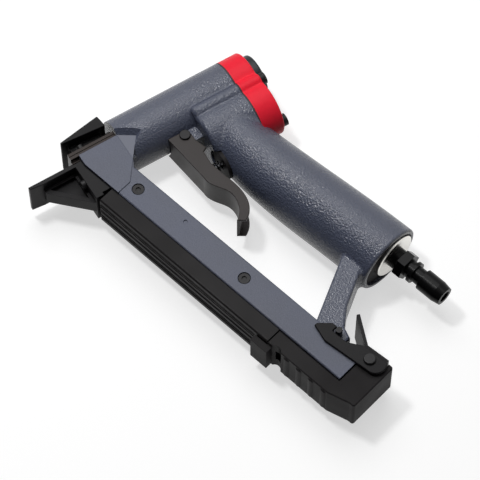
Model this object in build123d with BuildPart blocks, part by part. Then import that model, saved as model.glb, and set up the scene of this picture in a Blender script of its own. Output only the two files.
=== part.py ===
"""Pneumatic picture frame nailer, lying on its side.

X runs along the magazine from the nose to the rear, Y points away from the work and Z is up, out of
the tool's side. The origin is the muzzle, on the drive axis in the tool's middle plane. All sizes in mm.
"""

import os
from math import cos, pi, radians, sin, sqrt

from build123d import *

os.makedirs("parts", exist_ok=True)

# Drive axis: it leans back from square to the magazine, and heights along it start at the muzzle
LEAN = 15.0
CYLINDER_RADIUS = 15.5
CYLINDER_FOOT = 28.0
HEAD_FOOT = 68.0
HEAD_TOP = 96.5
LOBE_REAR = 16.5
LOBE_OFFSET = 19.5
SADDLE_OFFSET, SADDLE_SIDE, SADDLE_BOSS = 10.0, 12.4, 4.3
SADDLE_FILLET = 1.5
HEAD_EDGE = 2.5
CYLINDER_BLEND = 1.5
CASTING_OVERLAP = 3.0

# Fits
SCREW_PLAY = 0.05
RUNNING_PLAY = 0.05
PRESS_GAP = 0.02
SEAT_GAP = 0.2
OPEN_GAP = 0.4

# Screws: shank radius, head radius, head height, socket radius
SMALL = (1.25, 2.2, 2.2, 1.15)
MEDIUM = (1.5, 2.4, 2.2, 1.3)
LARGE = (2.0, 3.4, 3.0, 1.7)
RAIL_SCREW = (1.5, 3.0, 1.5, 1.5)
FOOT_SCREW = (2.0, 3.4, 1.8, 1.5)

# Driver, piston and cylinder sleeve
BLADE_WIDTH = 9.4
BLADE_THICKNESS = 1.2
BLADE_PLAY = 0.1
BLADE_ROOT = 6.0
STROKE = 36.0
SLEEVE_FLOOR = 34.0
SLEEVE_BORE = 9.6
SLEEVE_WALL = 1.4
RING_WIDTH = 1.6
RING_DEPTH = 0.8
SLEEVE_RING_LOW, SLEEVE_RING_HIGH = 38.0, 92.0
BUMPER_HEIGHT = 8.0
BUMPER_EDGE = 1.0
PISTON_HEIGHT = 10.5

# Cap, head valve and exhaust deflector
GASKET_THICKNESS = 0.8
CAP_HEIGHT = 12.7
CAP_ROOF = 3.5
CAP_EDGE = 1.2
CAP_CHAMBER = 10.6
CAP_REAR_CHAMBER = 8.0
CAP_REAR_SCREW = 31.5
CAP_SCREW_LENGTH = 22.0
FRONT_SCREW_CIRCLE = 13.0
FRONT_SCREW_ANGLE = 135.0
FRONT_SCREW_DEPTH = 3.0
HEAD_VALVE_RADIUS = 10.3
HEAD_VALVE_HEIGHT = 3.4
HEAD_VALVE_BOSS = 4.0
HEAD_VALVE_BOSS_HEIGHT = 2.6
HEAD_VALVE_WIRE = 0.4
HEAD_VALVE_COIL = 6.0
HEAD_VALVE_TURNS = 3
DEFLECTOR_RADIUS = 12.0
DEFLECTOR_HEIGHT = 4.5
DEFLECTOR_SHELL = 1.6
DEFLECTOR_EDGE = 1.2
DEFLECTOR_POST = 3.2
EXHAUST_RADIUS = 1.6
EXHAUST_CIRCLE = 6.4
EXHAUST_COUNT = 6
DEFLECTOR_SCREW_GRIP = 3.0

# Handle and air inlet
HANDLE_CENTRE = 75.5
HANDLE_ROOT, HANDLE_ROOT_HEIGHT, HANDLE_ROOT_WIDTH = 36.0, 28.0, 30.0
HANDLE_NECK, HANDLE_NECK_HEIGHT, HANDLE_NECK_WIDTH, HANDLE_NECK_DROP = 72.0, 35.2, 35.6, 2.8
HANDLE_GRIP, HANDLE_GRIP_HEIGHT, HANDLE_GRIP_WIDTH, HANDLE_GRIP_DROP = 112.0, 37.8, 37.4, 1.5
HANDLE_END, HANDLE_END_HEIGHT, HANDLE_END_WIDTH = 156.5, 39.6, 36.0
HANDLE_BLEND = 4.0
HANDLE_RIM = 1.2
INLET_OFFSET = 3.7
CHAMBER_RADIUS = 9.0
CHAMBER_FRONT = 78.0
END_PLUG_RADIUS = 13.0
END_PLUG_LENGTH = 8.0
END_PLUG_PROUD = 1.0
END_PLUG_EDGE = 0.5
END_WALL = 2.4
END_RECESS = 4.0
END_RING_THICKNESS = 2.2
PORT_OFFSET = 2.5
PORT_RADIUS = 4.0
PORT_FRONT = 41.0
THREAD_RADIUS = 5.5
HEX_ACROSS_FLATS = 14.0
HEX_FRONT, HEX_REAR = 162.0, 167.0
PLUG_NECK_RADIUS = 5.0
PLUG_COLLAR_FRONT, PLUG_COLLAR_REAR, PLUG_COLLAR_RADIUS = 170.0, 172.0, 6.2
PLUG_GROOVE_RADIUS = 4.6
PLUG_NOSE_FRONT, PLUG_NOSE_RADIUS = 177.0, 6.0
PLUG_TAPER, PLUG_END, PLUG_TIP_RADIUS = 187.0, 191.6, 5.2
PLUG_BORE = 3.3

# Strut between handle and magazine
STRUT_WIDTH = 18.0
STRUT_SINK = 15.5
STRUT_EDGE = 1.6
STRUT_BLEND = 2.5
STRUT_FRONT_TOP, STRUT_FRONT_FOOT = 138.5, 155.5
STRUT_REAR_TOP = 151.5
STRUT_KNEE = (161.3, 37.7)
STRUT_HEEL = (168.7, 27.6)
STRUT_TOE = (174.5, 25.2)

# Magazine housing and cheeks
RAIL_LOW, RAIL_TOP = 3.2, 20.1
RAIL_END = 187.0
RAIL_HALF = 12.0
RAIL_WALL = 3.0
RAIL_WEB = 3.0
RAIL_EDGE = 1.0
CHEEK_STEP = 0.5
CHEEK_TOP_REAR = 16.4
CHEEK_HEEL = 26.0
CHEEK_LINE_TOP = 16.1
CHEEK_LINE_FOOT = (31.4, 11.9)
CHEEK_APEX_REAR, CHEEK_APEX = 4.9, 36.5
CHEEK_FLAT_SLOPE = 45.0
CHEEK_BOSS_END, CHEEK_BOSS_TOP = 24.0, 12.0
RAIL_SCREW_FRONT, RAIL_SCREW_REAR, RAIL_SCREW_HEIGHT = 37.4, 113.3, 11.8
RAIL_SCREW_SEAT = 1.8
RAIL_SCREW_LENGTH = 3.0
DIMPLE = (68.7, 14.8)
DIMPLE_RADIUS, DIMPLE_DEPTH = 1.1, 0.5
FOOT_REAR = 14.0
FOOT_GAP = 0.1
FOOT_SCREW_FRONT, FOOT_SCREW_REAR = 13.0, 161.5
FOOT_SCREW_SINK = 2.0
FOOT_SCREW_LENGTH = 8.0

# Lower channel of the magazine
CHANNEL_FRONT, CHANNEL_BREAK = 27.0, 146.0
CHANNEL_LOW = -6.3
CHANNEL_TOP = 16.8
CHANNEL_HALF = 11.0
CHANNEL_INNER = 7.0
CHANNEL_FLOOR = 1.5
CHANNEL_FRONT_WALL = 2.0
CHANNEL_GAP = 0.2
CHANNEL_GROOVE, CHANNEL_GROOVE_WIDTH, CHANNEL_GROOVE_SIDE = 0.5, 1.2, 4.2
CHANNEL_EDGE = 1.2

# Drawer, pusher and guide rod
DRAWER_HALF = 6.7
DRAWER_FLOOR_LOW, DRAWER_FLOOR_TOP = 3.6, 5.1
DRAWER_TOP = 16.0
DRAWER_WALL = 1.4
DRAWER_REAR = 193.0
DRAWER_NOSE = 1.2
DRAWER_SLOT = 1.7
LUG_FRONT, LUG_LENGTH, LUG_HALF, LUG_LOW = 30.0, 2.0, 3.0, -3.6
ROD_HEIGHT, ROD_RADIUS = -1.5, 1.2
PUSHER_NOSE = 2.0
PUSHER_TOP = 15.6
PUSHER_HALF = 4.9
PUSHER_TAIL_LENGTH = 6.0
PUSHER_TAIL_HALF = 1.4
PUSHER_TRAVEL = 85.0
PUSHER_WIRE = 0.35
PUSHER_COIL = 2.2
PUSHER_TURNS = 34

# Drawer end cap with its grip
CAP_BLOCK_FRONT, CAP_BLOCK_REAR = 187.3, 202.5
CAP_BLOCK_LOW, CAP_BLOCK_TOP = -3.0, 24.0
CAP_LIP_FRONT, CAP_LIP_TOP = 199.4, 26.8
CAP_BLOCK_HALF = 11.0
CAP_BLOCK_CORNER = 1.4
CAP_BLOCK_EDGE = 0.7
GRIP_TOP = 2.9
GRIP_SHELL = 1.4
GRIP_HOLLOW = 4.2
GRIP_TAB_LEAD, GRIP_TAB_ROOT, GRIP_TAB_LOW, GRIP_TAB_HALF = 7.9, 3.1, -10.5, 9.0
GRIP_SCOOP_REACH, GRIP_SCOOP_HEIGHT, GRIP_SCOOP_RADIUS = 6.4, -7.6, 3.2
GRIP_RIB_REACH, GRIP_RIB_MARGIN, GRIP_RIB_COUNT = 13.1, 2.8, 4
GRIP_RIB_RADIUS, GRIP_RIB_RISE = 3.0, 0.7

# Latch
LATCH_PIVOT = (191.4, 20.9)
LATCH_INNER, LATCH_SHEET, LATCH_EDGE = 12.4, 1.4, 0.4
LATCH_TIP, LATCH_HOOK = (158.0, 16.2), (158.1, 18.0)
LATCH_HOOK_HEIGHT = 23.4
LATCH_HOOK_FRONT = 163.9
LATCH_BACK = 176.2
LATCH_SHOULDER = (184.5, 24.9)
LATCH_HEEL = (198.8, 25.8)
LATCH_END = (200.6, 20.6)
LATCH_BELLY = (196.2, 15.7)
LATCH_KEEL = (167.7, 13.2)
LATCH_TAB = (169.6, 35.2)
LATCH_TAB_OFFSET = (0.97, 1.4)
LATCH_PIN_RADIUS, LATCH_PIN_HEAD, LATCH_PIN_CROWN = 2.0, 3.2, 1.2
CATCH = (169.2, 22.4)
CATCH_RADIUS = 1.8
CATCH_CROWN = 0.6
LATCH_WIRE = 0.5
LATCH_COIL = 2.9
LATCH_TURNS = 4
LATCH_COIL_HEIGHT = 5.9
LATCH_COIL_START = 53.0
LATCH_LEG = 2.2
LATCH_POCKET_HALF, LATCH_POCKET_LOW, LATCH_POCKET_REAR = 3.9, 16.8, 197.2

# Trigger and trigger valve
TRIGGER_PIVOT = (31.4, 53.2)
TRIGGER_HALF, TRIGGER_SHEET, TRIGGER_EDGE = 9.0, 1.5, 0.4
TRIGGER_WEB_FRONT, TRIGGER_WEB_BEND = (26.5, 45.2), (56.0, 41.5)
TRIGGER_WEB_WAVE = [(64.2, 42.1), (72.5, 44.6), (79.5, 42.8)]
TRIGGER_WEB_TIP, TRIGGER_BACK_TIP = (86.3, 34.9), (89.8, 38.2)
TRIGGER_BACK_WAVE = [(84.0, 46.6), (75.6, 49.8)]
TRIGGER_BACK_BEND = (63.2, 50.2)
TRIGGER_SHOULDER = [(53.0, 50.4), (45.2, 53.0), (44.6, 55.8), (37.9, 55.1), (33.1, 56.2), (29.3, 55.2)]
TRIGGER_WEB_SHIFT = (0.9, 1.3)
TRIGGER_CLEARANCE = 0.7
TRIGGER_SWING = 2.2
TRIGGER_BOSS_HALF, TRIGGER_BOSS_RADIUS = 7.1, 4.6
TRIGGER_PIN_RADIUS, TRIGGER_PIN_HEAD, TRIGGER_PIN_CROWN = 2.0, 3.0, 1.0
VALVE_OFFSET = 37.7
VALVE_FACE, VALVE_RECESS, VALVE_RECESS_DEPTH = 71.0, 9.2, 12.0
VALVE_BODY, VALVE_BODY_LENGTH = 7.0, 11.0
VALVE_FLANGE, VALVE_FLANGE_HEIGHT = 8.6, 2.0
VALVE_RING_LOW = 75.0
VALVE_PORT = 2.0
STEM_RADIUS, STEM_LENGTH = 1.6, 23.0
BUTTON_LOW, BUTTON_RADIUS, BUTTON_HEIGHT = 55.9, 3.4, 1.8
VALVE_WIRE, VALVE_COIL, VALVE_TURNS = 0.45, 2.6, 6

# Arc pairs in each curl of a spring
CURL_STEPS = 4

# Nose: plate, guide shoe and corner fence
PLATE_FRONT, PLATE_TOP, PLATE_HALF = -4.3, 27.6, 11.6
PLATE_RIB_INNER, PLATE_RIB_OUTER = 4.9, 8.8
PLATE_STEP, PLATE_SEAM, PLATE_STEP_HALF = 1.6, 0.4, 11.0
NOSE_SCREW_LOW, NOSE_SCREW_LOW_SIDE = 8.4, 9.3
NOSE_SCREW_HIGH, NOSE_SCREW_HIGH_SIDE = 25.2, 6.8
NOSE_SCREW_LENGTH = 11.0
SHOE_HALF = 13.5
SHOE_EDGE = 0.6
SHOE_SIDE_EDGE = 0.4
SHOE_BLOCK_FRONT = -10.6
SHOE_TOE, SHOE_BACK, SHOE_BROW = (-11.0, -4.5), (-8.5, 25.6), (-15.7, 24.6)
SHOE_BLOCK_HALF, SHOE_BLOCK_LOW, SHOE_BLOCK_TOP = 6.4, 4.0, 22.0
SHOE_SCREW_LOW, SHOE_SCREW_HIGH = 9.0, 17.0
SHOE_SCREW_SEAT = -10.9
SHOE_SCREW_LENGTH = 9.2
FENCE_FRONT, FENCE_WALL, FENCE_HALF = 1.6, 2.5, 11.0
FENCE_RELIEF, FENCE_RELIEF_TOP, FENCE_EDGE = 0.4, -0.4, 0.4
FENCE_END, FENCE_TOE, FENCE_TAPER = -27.0, 3.3, -19.5
FENCE_BASE, FENCE_BASE_REAR = 4.8, 26.0
FENCE_WEDGE_REAR = 24.4
FENCE_WEB_HALF = 4.5
FENCE_RIB_TOE, FENCE_RIB_HEEL = (6.3, -19.5), (25.0, 0.0)
FENCE_POCKET = [(5.4, -16.6), (5.4, -1.4), (20.4, -1.4)]
FENCE_POCKET_DEPTH = 3.0
FENCE_SCREW_REAR, FENCE_SCREW_SIDE = 14.0, 8.6
FENCE_SCREW_LENGTH = 14.0

# Derived
COS_LEAN, SIN_LEAN = cos(radians(LEAN)), sin(radians(LEAN))
REARWARD = Vector(COS_LEAN, -SIN_LEAN, 0)
ALONG = Vector(SIN_LEAN, COS_LEAN, 0)
NOSE_SIDE = Plane(origin=(0, 0, 0), x_dir=REARWARD, z_dir=(0, 0, 1))
DRIVE_AXIS = Axis(origin=(0, 0, 0), direction=ALONG)
FAR = 400.0
TRACK_FRONT = -(BLADE_THICKNESS / 2 + BLADE_PLAY)
TRACK_REAR = BLADE_THICKNESS / 2 + BLADE_PLAY
SLEEVE_RADIUS = SLEEVE_BORE + SLEEVE_WALL
SLEEVE_TOP = HEAD_TOP - SEAT_GAP
PISTON_RADIUS = SLEEVE_BORE - RUNNING_PLAY
PISTON_LOW = SLEEVE_FLOOR + BUMPER_HEIGHT + STROKE + 2 * SEAT_GAP
CAP_LOW = HEAD_TOP + GASKET_THICKNESS
CAP_TOP = CAP_LOW + CAP_HEIGHT
CAP_CEILING = CAP_TOP - CAP_ROOF
HEAD_VALVE_LOW = SLEEVE_TOP + SEAT_GAP
HEAD_VALVE_TOP = HEAD_VALVE_LOW + HEAD_VALVE_HEIGHT
RAIL_INNER = RAIL_HALF - RAIL_WALL
CHEEK_HALF = RAIL_HALF + CHEEK_STEP
WEB_LOW = RAIL_TOP - RAIL_WEB
HOUSING_NOSE = FENCE_BASE + FOOT_GAP
FOOT_FRONT = TRACK_REAR + FOOT_GAP
SADDLE_SPOTS = [(SADDLE_OFFSET, SADDLE_SIDE), (SADDLE_OFFSET, -SADDLE_SIDE)]
CAP_SPOTS = SADDLE_SPOTS + [(CAP_REAR_SCREW, 0)]
FRONT_X = FRONT_SCREW_CIRCLE * cos(radians(FRONT_SCREW_ANGLE))
FRONT_Y = FRONT_SCREW_CIRCLE * sin(radians(FRONT_SCREW_ANGLE))
FRONT_SPOTS = [(FRONT_X, FRONT_Y), (FRONT_X, -FRONT_Y)]
NOSE_SPOTS = [
    (NOSE_SCREW_LOW, NOSE_SCREW_LOW_SIDE),
    (NOSE_SCREW_LOW, -NOSE_SCREW_LOW_SIDE),
    (NOSE_SCREW_HIGH, NOSE_SCREW_HIGH_SIDE),
    (NOSE_SCREW_HIGH, -NOSE_SCREW_HIGH_SIDE),
]
SHOE_SPOTS = [(SHOE_SCREW_LOW, 0), (SHOE_SCREW_HIGH, 0)]
FENCE_SPOTS = [(FENCE_SCREW_REAR, FENCE_SCREW_SIDE), (FENCE_SCREW_REAR, -FENCE_SCREW_SIDE)]
RAIL_SPOTS = [(RAIL_SCREW_FRONT, RAIL_SCREW_HEIGHT), (RAIL_SCREW_REAR, RAIL_SCREW_HEIGHT)]
FOOT_SPOTS = [(FOOT_SCREW_FRONT, 0), (FOOT_SCREW_REAR, 0)]
PIVOT_REAR = TRIGGER_PIVOT[0] * COS_LEAN - TRIGGER_PIVOT[1] * SIN_LEAN
PIVOT_ALONG = TRIGGER_PIVOT[0] * SIN_LEAN + TRIGGER_PIVOT[1] * COS_LEAN
LATCH_OUTER = LATCH_INNER + LATCH_SHEET
PIN_REACH = TRIGGER_HALF + SEAT_GAP + TRIGGER_PIN_CROWN
PLATE_RIB_SIDE = (PLATE_RIB_INNER + PLATE_RIB_OUTER) / 2
PUSHER_TAIL_FRONT = LUG_FRONT + LUG_LENGTH + OPEN_GAP
PUSHER_TAIL_REAR = PUSHER_TAIL_FRONT + PUSHER_TAIL_LENGTH
BUTTON_TOP = BUTTON_LOW + BUTTON_HEIGHT
FLANGE_LOW = VALVE_FACE - VALVE_FLANGE_HEIGHT
INLET_HEIGHT = HANDLE_CENTRE + INLET_OFFSET
END_PLUG_FRONT = HANDLE_END + END_PLUG_PROUD - END_PLUG_LENGTH
END_RING_FRONT = HANDLE_END - END_RECESS
END_RING_HALF = (HANDLE_END_HEIGHT / 2 - END_WALL, HANDLE_END_WIDTH / 2 - END_WALL)
STRUT_ROOT = HANDLE_CENTRE - STRUT_SINK
TRIGGER_TOP = max(point[0] * SIN_LEAN + point[1] * COS_LEAN for point in TRIGGER_SHOULDER)
GRIP_FRONT = CHANNEL_BREAK + OPEN_GAP
GRIP_TAB_FRONT, GRIP_TAB_REAR = GRIP_FRONT - GRIP_TAB_LEAD, GRIP_FRONT + GRIP_TAB_ROOT
GRIP_SCOOP = (GRIP_FRONT + GRIP_SCOOP_REACH, GRIP_SCOOP_HEIGHT)
GRIP_RIB_FIRST = GRIP_FRONT + GRIP_RIB_REACH
GRIP_RIB_STEP = (CAP_BLOCK_FRONT - GRIP_RIB_MARGIN - GRIP_RIB_FIRST) / (GRIP_RIB_COUNT - 1)


def drive_plane(along, rear=0.0):
    """Plane square to the drive axis: local X is rearward, local Y is down through the tool's side."""
    return Plane(origin=ALONG * along + REARWARD * rear, x_dir=REARWARD, z_dir=ALONG)


def rear_plane(x, height=0.0):
    """Plane square to the magazine: local X is the tool's Y, local Y is the tool's Z."""
    return Plane(origin=(x, height, 0), x_dir=(0, 1, 0), z_dir=(1, 0, 0))


def nose_plane(rear):
    """Plane square to the rearward direction: local X is along the drive axis, local Y is Z."""
    return Plane(origin=REARWARD * rear, x_dir=ALONG, z_dir=REARWARD)


def front_plane(rear):
    """Plane that faces forward, square to the rearward direction: local X is along the drive axis."""
    return Plane(origin=REARWARD * rear, x_dir=ALONG, z_dir=-REARWARD)


def shifted(point):
    """Point of the trigger web's outer face carried through to its inner face."""
    return (point[0] + TRIGGER_WEB_SHIFT[0], point[1] + TRIGGER_WEB_SHIFT[1])


def nose_point(rear, along):
    """Side-view point given by its distance behind the drive axis and its height along it."""
    return (rear * COS_LEAN + along * SIN_LEAN, along * COS_LEAN - rear * SIN_LEAN)


def along_at(rear, height):
    """Height along the drive axis at which a line at that distance behind it reaches the given Y."""
    return (height + rear * SIN_LEAN) / COS_LEAN


def rear_at(along, height):
    """Distance behind the drive axis at which a line at that height along it reaches the given Y."""
    return (along * COS_LEAN - height) / SIN_LEAN


def bore(plane, spots, radius, depth):
    """Cut round holes from a plane along its normal."""
    with BuildSketch(plane) as circles:
        with Locations(*spots):
            Circle(radius)
    extrude(circles.sketch, amount=depth, mode=Mode.SUBTRACT)


def posts(plane, spots, radius, height):
    """Add round posts from a plane along its normal."""
    with BuildSketch(plane) as circles:
        with Locations(*spots):
            Circle(radius)
    extrude(circles.sketch, amount=height)


def round_sides(piece, radius):
    """Round the edges of a piece's two outermost side faces."""
    layers = piece.edges().group_by(Axis.Z)
    fillet(layers[0] + layers[-1], radius)


def screws(plane, spots, size, length):
    """Add socket head screws that sit on a plane, with shanks against its normal."""
    shank, head, height, socket = size
    posts(plane, spots, head, height)
    posts(plane, spots, shank, -length)
    with BuildSketch(plane.offset(height)) as sockets:
        with Locations(*spots):
            RegularPolygon(socket, 6)
    extrude(sockets.sketch, amount=-height / 2, mode=Mode.SUBTRACT)


def head_block(low, height):
    """Add a block with the head's outline: two lobes, with a screw boss on each side of the saddle."""
    with BuildSketch(drive_plane(low)) as outline:
        Circle(CYLINDER_RADIUS)
        with Locations((LOBE_OFFSET, 0)):
            Circle(LOBE_REAR)
        with Locations(*SADDLE_SPOTS):
            Circle(SADDLE_BOSS)
    block = extrude(outline.sketch, amount=height)
    fillet(block.edges().filter_by(DRIVE_AXIS), SADDLE_FILLET)


def helix(plane, radius, turns, rise, start, steps):
    """Points and unit tangents of a helix that climbs along the plane's normal."""
    points, tangents = [], []
    for step in range(turns * steps + 1):
        angle = radians(start) + 2 * pi * step / steps
        height = rise * step / (turns * steps)
        points.append(plane.from_local_coords(Vector(radius * cos(angle), radius * sin(angle), height)))
        slope = Vector(-radius * sin(angle), radius * cos(angle), rise / (2 * pi * turns))
        tangents.append((plane.from_local_coords(slope) - plane.origin).normalized())
    return points, tangents


def biarcs(points, tangents):
    """Join points by pairs of tangent arcs that keep each point's direction."""
    for first in range(len(points) - 1):
        start, end = points[first], points[first + 1]
        lead, trail = tangents[first], tangents[first + 1]
        chord = end - start
        square = 2 * (lead.dot(trail) - 1)
        side = 2 * chord.dot(lead + trail)
        reach = (side - sqrt(side * side - 4 * square * chord.dot(chord))) / (2 * square)
        inner = start + lead * reach
        outer = end - trail * reach
        middle = (inner + outer) * 0.5
        TangentArc(start, middle, tangent=lead)
        TangentArc(middle, end, tangent=outer - inner)


def curls(name, plane, radius, turns, rise, wire):
    """Add a coil spring as one unbroken wire, and print the least gap between its curls."""
    with BuildLine() as path:
        biarcs(*helix(plane, radius, turns, rise, 0.0, CURL_STEPS))
    with BuildSketch(Plane(origin=path.line @ 0, z_dir=path.line % 0)) as section:
        Circle(wire)
    sweep(section.sketch, path=path.line)
    report_gap(name, plane, radius, turns, rise, wire)


def report_gap(name, plane, radius, turns, rise, wire):
    """Print the least gap between a spring's curls, measured on points."""
    samples = 24
    points, _ = helix(plane, radius, turns, rise, 0.0, samples)
    gap = min(
        (points[first] - points[second]).length
        for first in range(len(points))
        for second in range(first + samples // 2, min(len(points), first + 2 * samples))
    )
    print(f"{name}: least gap {gap - 2 * wire:.2f}")


# Body casting: two-lobed head, cylinder, handle, strut, foot and trigger boss in one
with BuildPart() as body_casting:
    head_block(HEAD_FOOT, HEAD_TOP - HEAD_FOOT)
    fillet(body_casting.faces().sort_by(DRIVE_AXIS)[0].edges(), HEAD_EDGE)
    for side in (1, -1):
        with BuildSketch(NOSE_SIDE.offset(side * TRIGGER_BOSS_HALF)):
            with Locations((0, TRIGGER_TOP + TRIGGER_SWING)):
                Rectangle(FAR, FAR, align=(Align.CENTER, Align.MAX))
        extrude(amount=side * (PIN_REACH + OPEN_GAP - TRIGGER_BOSS_HALF), mode=Mode.SUBTRACT)
    with BuildSketch(drive_plane(CYLINDER_FOOT)):
        Circle(CYLINDER_RADIUS)
    extrude(amount=HEAD_TOP - CYLINDER_FOOT)
    fillet(body_casting.edges(Select.NEW), CYLINDER_BLEND)
    with BuildSketch(rear_plane(HANDLE_ROOT, HANDLE_CENTRE)):
        Ellipse(HANDLE_ROOT_HEIGHT / 2, HANDLE_ROOT_WIDTH / 2)
    with BuildSketch(rear_plane(HANDLE_NECK, HANDLE_CENTRE - HANDLE_NECK_DROP)):
        Ellipse(HANDLE_NECK_HEIGHT / 2, HANDLE_NECK_WIDTH / 2)
    with BuildSketch(rear_plane(HANDLE_GRIP, HANDLE_CENTRE - HANDLE_GRIP_DROP)):
        Ellipse(HANDLE_GRIP_HEIGHT / 2, HANDLE_GRIP_WIDTH / 2)
    with BuildSketch(rear_plane(HANDLE_END, HANDLE_CENTRE)):
        Ellipse(HANDLE_END_HEIGHT / 2, HANDLE_END_WIDTH / 2)
    loft()
    fillet(body_casting.edges(Select.NEW), HANDLE_BLEND)
    fillet(body_casting.edges().group_by(Axis.X)[-1], HANDLE_RIM)
    with BuildSketch(NOSE_SIDE):
        with Locations((LOBE_OFFSET + LOBE_REAR + OPEN_GAP, HEAD_TOP)):
            Rectangle(FAR, FAR, align=(Align.MAX, Align.MIN))
    extrude(amount=FAR, both=True, mode=Mode.SUBTRACT)
    with BuildSketch():
        with BuildLine():
            Polyline(
                (STRUT_FRONT_TOP, STRUT_ROOT),
                (STRUT_FRONT_FOOT, RAIL_TOP),
                (STRUT_TOE[0], RAIL_TOP),
                STRUT_TOE,
                STRUT_HEEL,
                STRUT_KNEE,
                (STRUT_REAR_TOP, STRUT_ROOT),
                close=True,
            )
        make_face()
    strut = extrude(amount=STRUT_WIDTH / 2, both=True, mode=Mode.PRIVATE)
    outline = strut.edges().filter_by(Axis.Z, reverse=True)
    add(strut.fillet(STRUT_EDGE, outline.filter_by_position(Axis.Y, RAIL_TOP, STRUT_ROOT, (False, False))))
    fillet(body_casting.edges(Select.NEW), STRUT_BLEND)
    with BuildSketch(NOSE_SIDE) as cheek_corner:
        with BuildLine():
            Polyline(
                (TRACK_FRONT, CYLINDER_FOOT),
                (CHEEK_APEX_REAR, CHEEK_APEX),
                (CHEEK_LINE_TOP, CYLINDER_FOOT),
                close=True,
            )
        make_face()
    extrude(cheek_corner.sketch, amount=CHEEK_HALF, both=True)
    flat = extrude(
        cheek_corner.sketch.moved(Location((0, 0, CHEEK_HALF))),
        amount=CYLINDER_RADIUS,
        taper=-CHEEK_FLAT_SLOPE,
        mode=Mode.SUBTRACT,
    )
    mirror(flat, about=Plane.XY, mode=Mode.SUBTRACT)
    with BuildSketch(NOSE_SIDE):
        with BuildLine():
            Polyline(
                (FOOT_FRONT, along_at(FOOT_FRONT, RAIL_TOP)),
                (FOOT_REAR, along_at(FOOT_REAR, RAIL_TOP)),
                (FOOT_REAR, CYLINDER_FOOT + CASTING_OVERLAP),
                (FOOT_FRONT, CYLINDER_FOOT + CASTING_OVERLAP),
                close=True,
            )
        make_face()
    extrude(amount=RAIL_INNER - FOOT_GAP, both=True)
    with BuildSketch(NOSE_SIDE):
        with Locations((PIVOT_REAR, PIVOT_ALONG)):
            Circle(TRIGGER_BOSS_RADIUS)
        with Locations((PIVOT_REAR + TRIGGER_BOSS_RADIUS, PIVOT_ALONG)):
            Rectangle(
                2 * TRIGGER_BOSS_RADIUS,
                HEAD_FOOT + CASTING_OVERLAP - PIVOT_ALONG,
                align=(Align.MAX, Align.MIN),
            )
    extrude(amount=TRIGGER_BOSS_HALF, both=True)
    bore(drive_plane(SLEEVE_FLOOR), [(0, 0)], SLEEVE_RADIUS + PRESS_GAP, FAR)
    with BuildSketch(drive_plane(SLEEVE_FLOOR)):
        Rectangle(2 * TRACK_REAR, BLADE_WIDTH + 2 * BLADE_PLAY)
    extrude(amount=-FAR, mode=Mode.SUBTRACT)
    bore(rear_plane(CHAMBER_FRONT, INLET_HEIGHT), [(0, 0)], CHAMBER_RADIUS, FAR)
    bore(rear_plane(END_PLUG_FRONT, INLET_HEIGHT), [(0, 0)], END_PLUG_RADIUS + PRESS_GAP, FAR)
    with BuildSketch(rear_plane(END_RING_FRONT, HANDLE_CENTRE)):
        Ellipse(END_RING_HALF[0] + PRESS_GAP, END_RING_HALF[1] + PRESS_GAP)
    extrude(amount=FAR, mode=Mode.SUBTRACT)
    bore(rear_plane(PORT_FRONT, HANDLE_CENTRE), [(PORT_OFFSET, 0)], PORT_RADIUS, CHAMBER_FRONT - PORT_FRONT)
    bore(drive_plane(HEAD_TOP), [(LOBE_OFFSET, 0)], PORT_RADIUS, -(HEAD_TOP - HEAD_FOOT) / 2)
    bore(drive_plane(VALVE_FACE), [(VALVE_OFFSET, 0)], VALVE_RECESS, -VALVE_RECESS_DEPTH)
    bore(drive_plane(VALVE_FACE), [(VALVE_OFFSET, 0)], VALVE_BODY + PRESS_GAP, VALVE_BODY_LENGTH)
    bore(drive_plane(VALVE_FACE), [(VALVE_OFFSET, 0)], VALVE_PORT, 2 * VALVE_BODY_LENGTH)
    bore(Plane.XY.offset(-FAR / 2), [TRIGGER_PIVOT], TRIGGER_PIN_RADIUS + PRESS_GAP, FAR)
    bore(Plane.XY.offset(-FAR / 2), [CATCH], CATCH_RADIUS + PRESS_GAP, FAR)
    bore(drive_plane(CAP_TOP), CAP_SPOTS, LARGE[0] + SCREW_PLAY, -CAP_SCREW_LENGTH)
    bore(drive_plane(CAP_TOP - FRONT_SCREW_DEPTH), FRONT_SPOTS, SMALL[0] + SCREW_PLAY, -CAP_SCREW_LENGTH)
    bore(nose_plane(PLATE_FRONT), NOSE_SPOTS[2:], SMALL[0] + SCREW_PLAY, NOSE_SCREW_LENGTH)
    bore(Plane.XZ.offset(-WEB_LOW), FOOT_SPOTS, LARGE[0] + SCREW_PLAY, -(RAIL_WEB + FOOT_SCREW_LENGTH))
body_casting.part.label = "body_casting"
export_step(body_casting.part, "parts/body_casting.step")

# Steel sleeve pressed into the cylinder, with two sealing rings outside
with BuildPart() as cylinder_sleeve:
    posts(drive_plane(SLEEVE_FLOOR), [(0, 0)], SLEEVE_RADIUS, SLEEVE_TOP - SLEEVE_FLOOR)
    bore(drive_plane(SLEEVE_FLOOR), [(0, 0)], SLEEVE_BORE, FAR)
    for ring_low in (SLEEVE_RING_LOW, SLEEVE_RING_HIGH):
        with BuildSketch(drive_plane(ring_low)):
            Circle(SLEEVE_RADIUS)
            Circle(SLEEVE_RADIUS - RING_DEPTH, mode=Mode.SUBTRACT)
        extrude(amount=RING_WIDTH, mode=Mode.SUBTRACT)
cylinder_sleeve.part.label = "cylinder_sleeve"
export_step(cylinder_sleeve.part, "parts/cylinder_sleeve.step")

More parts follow.
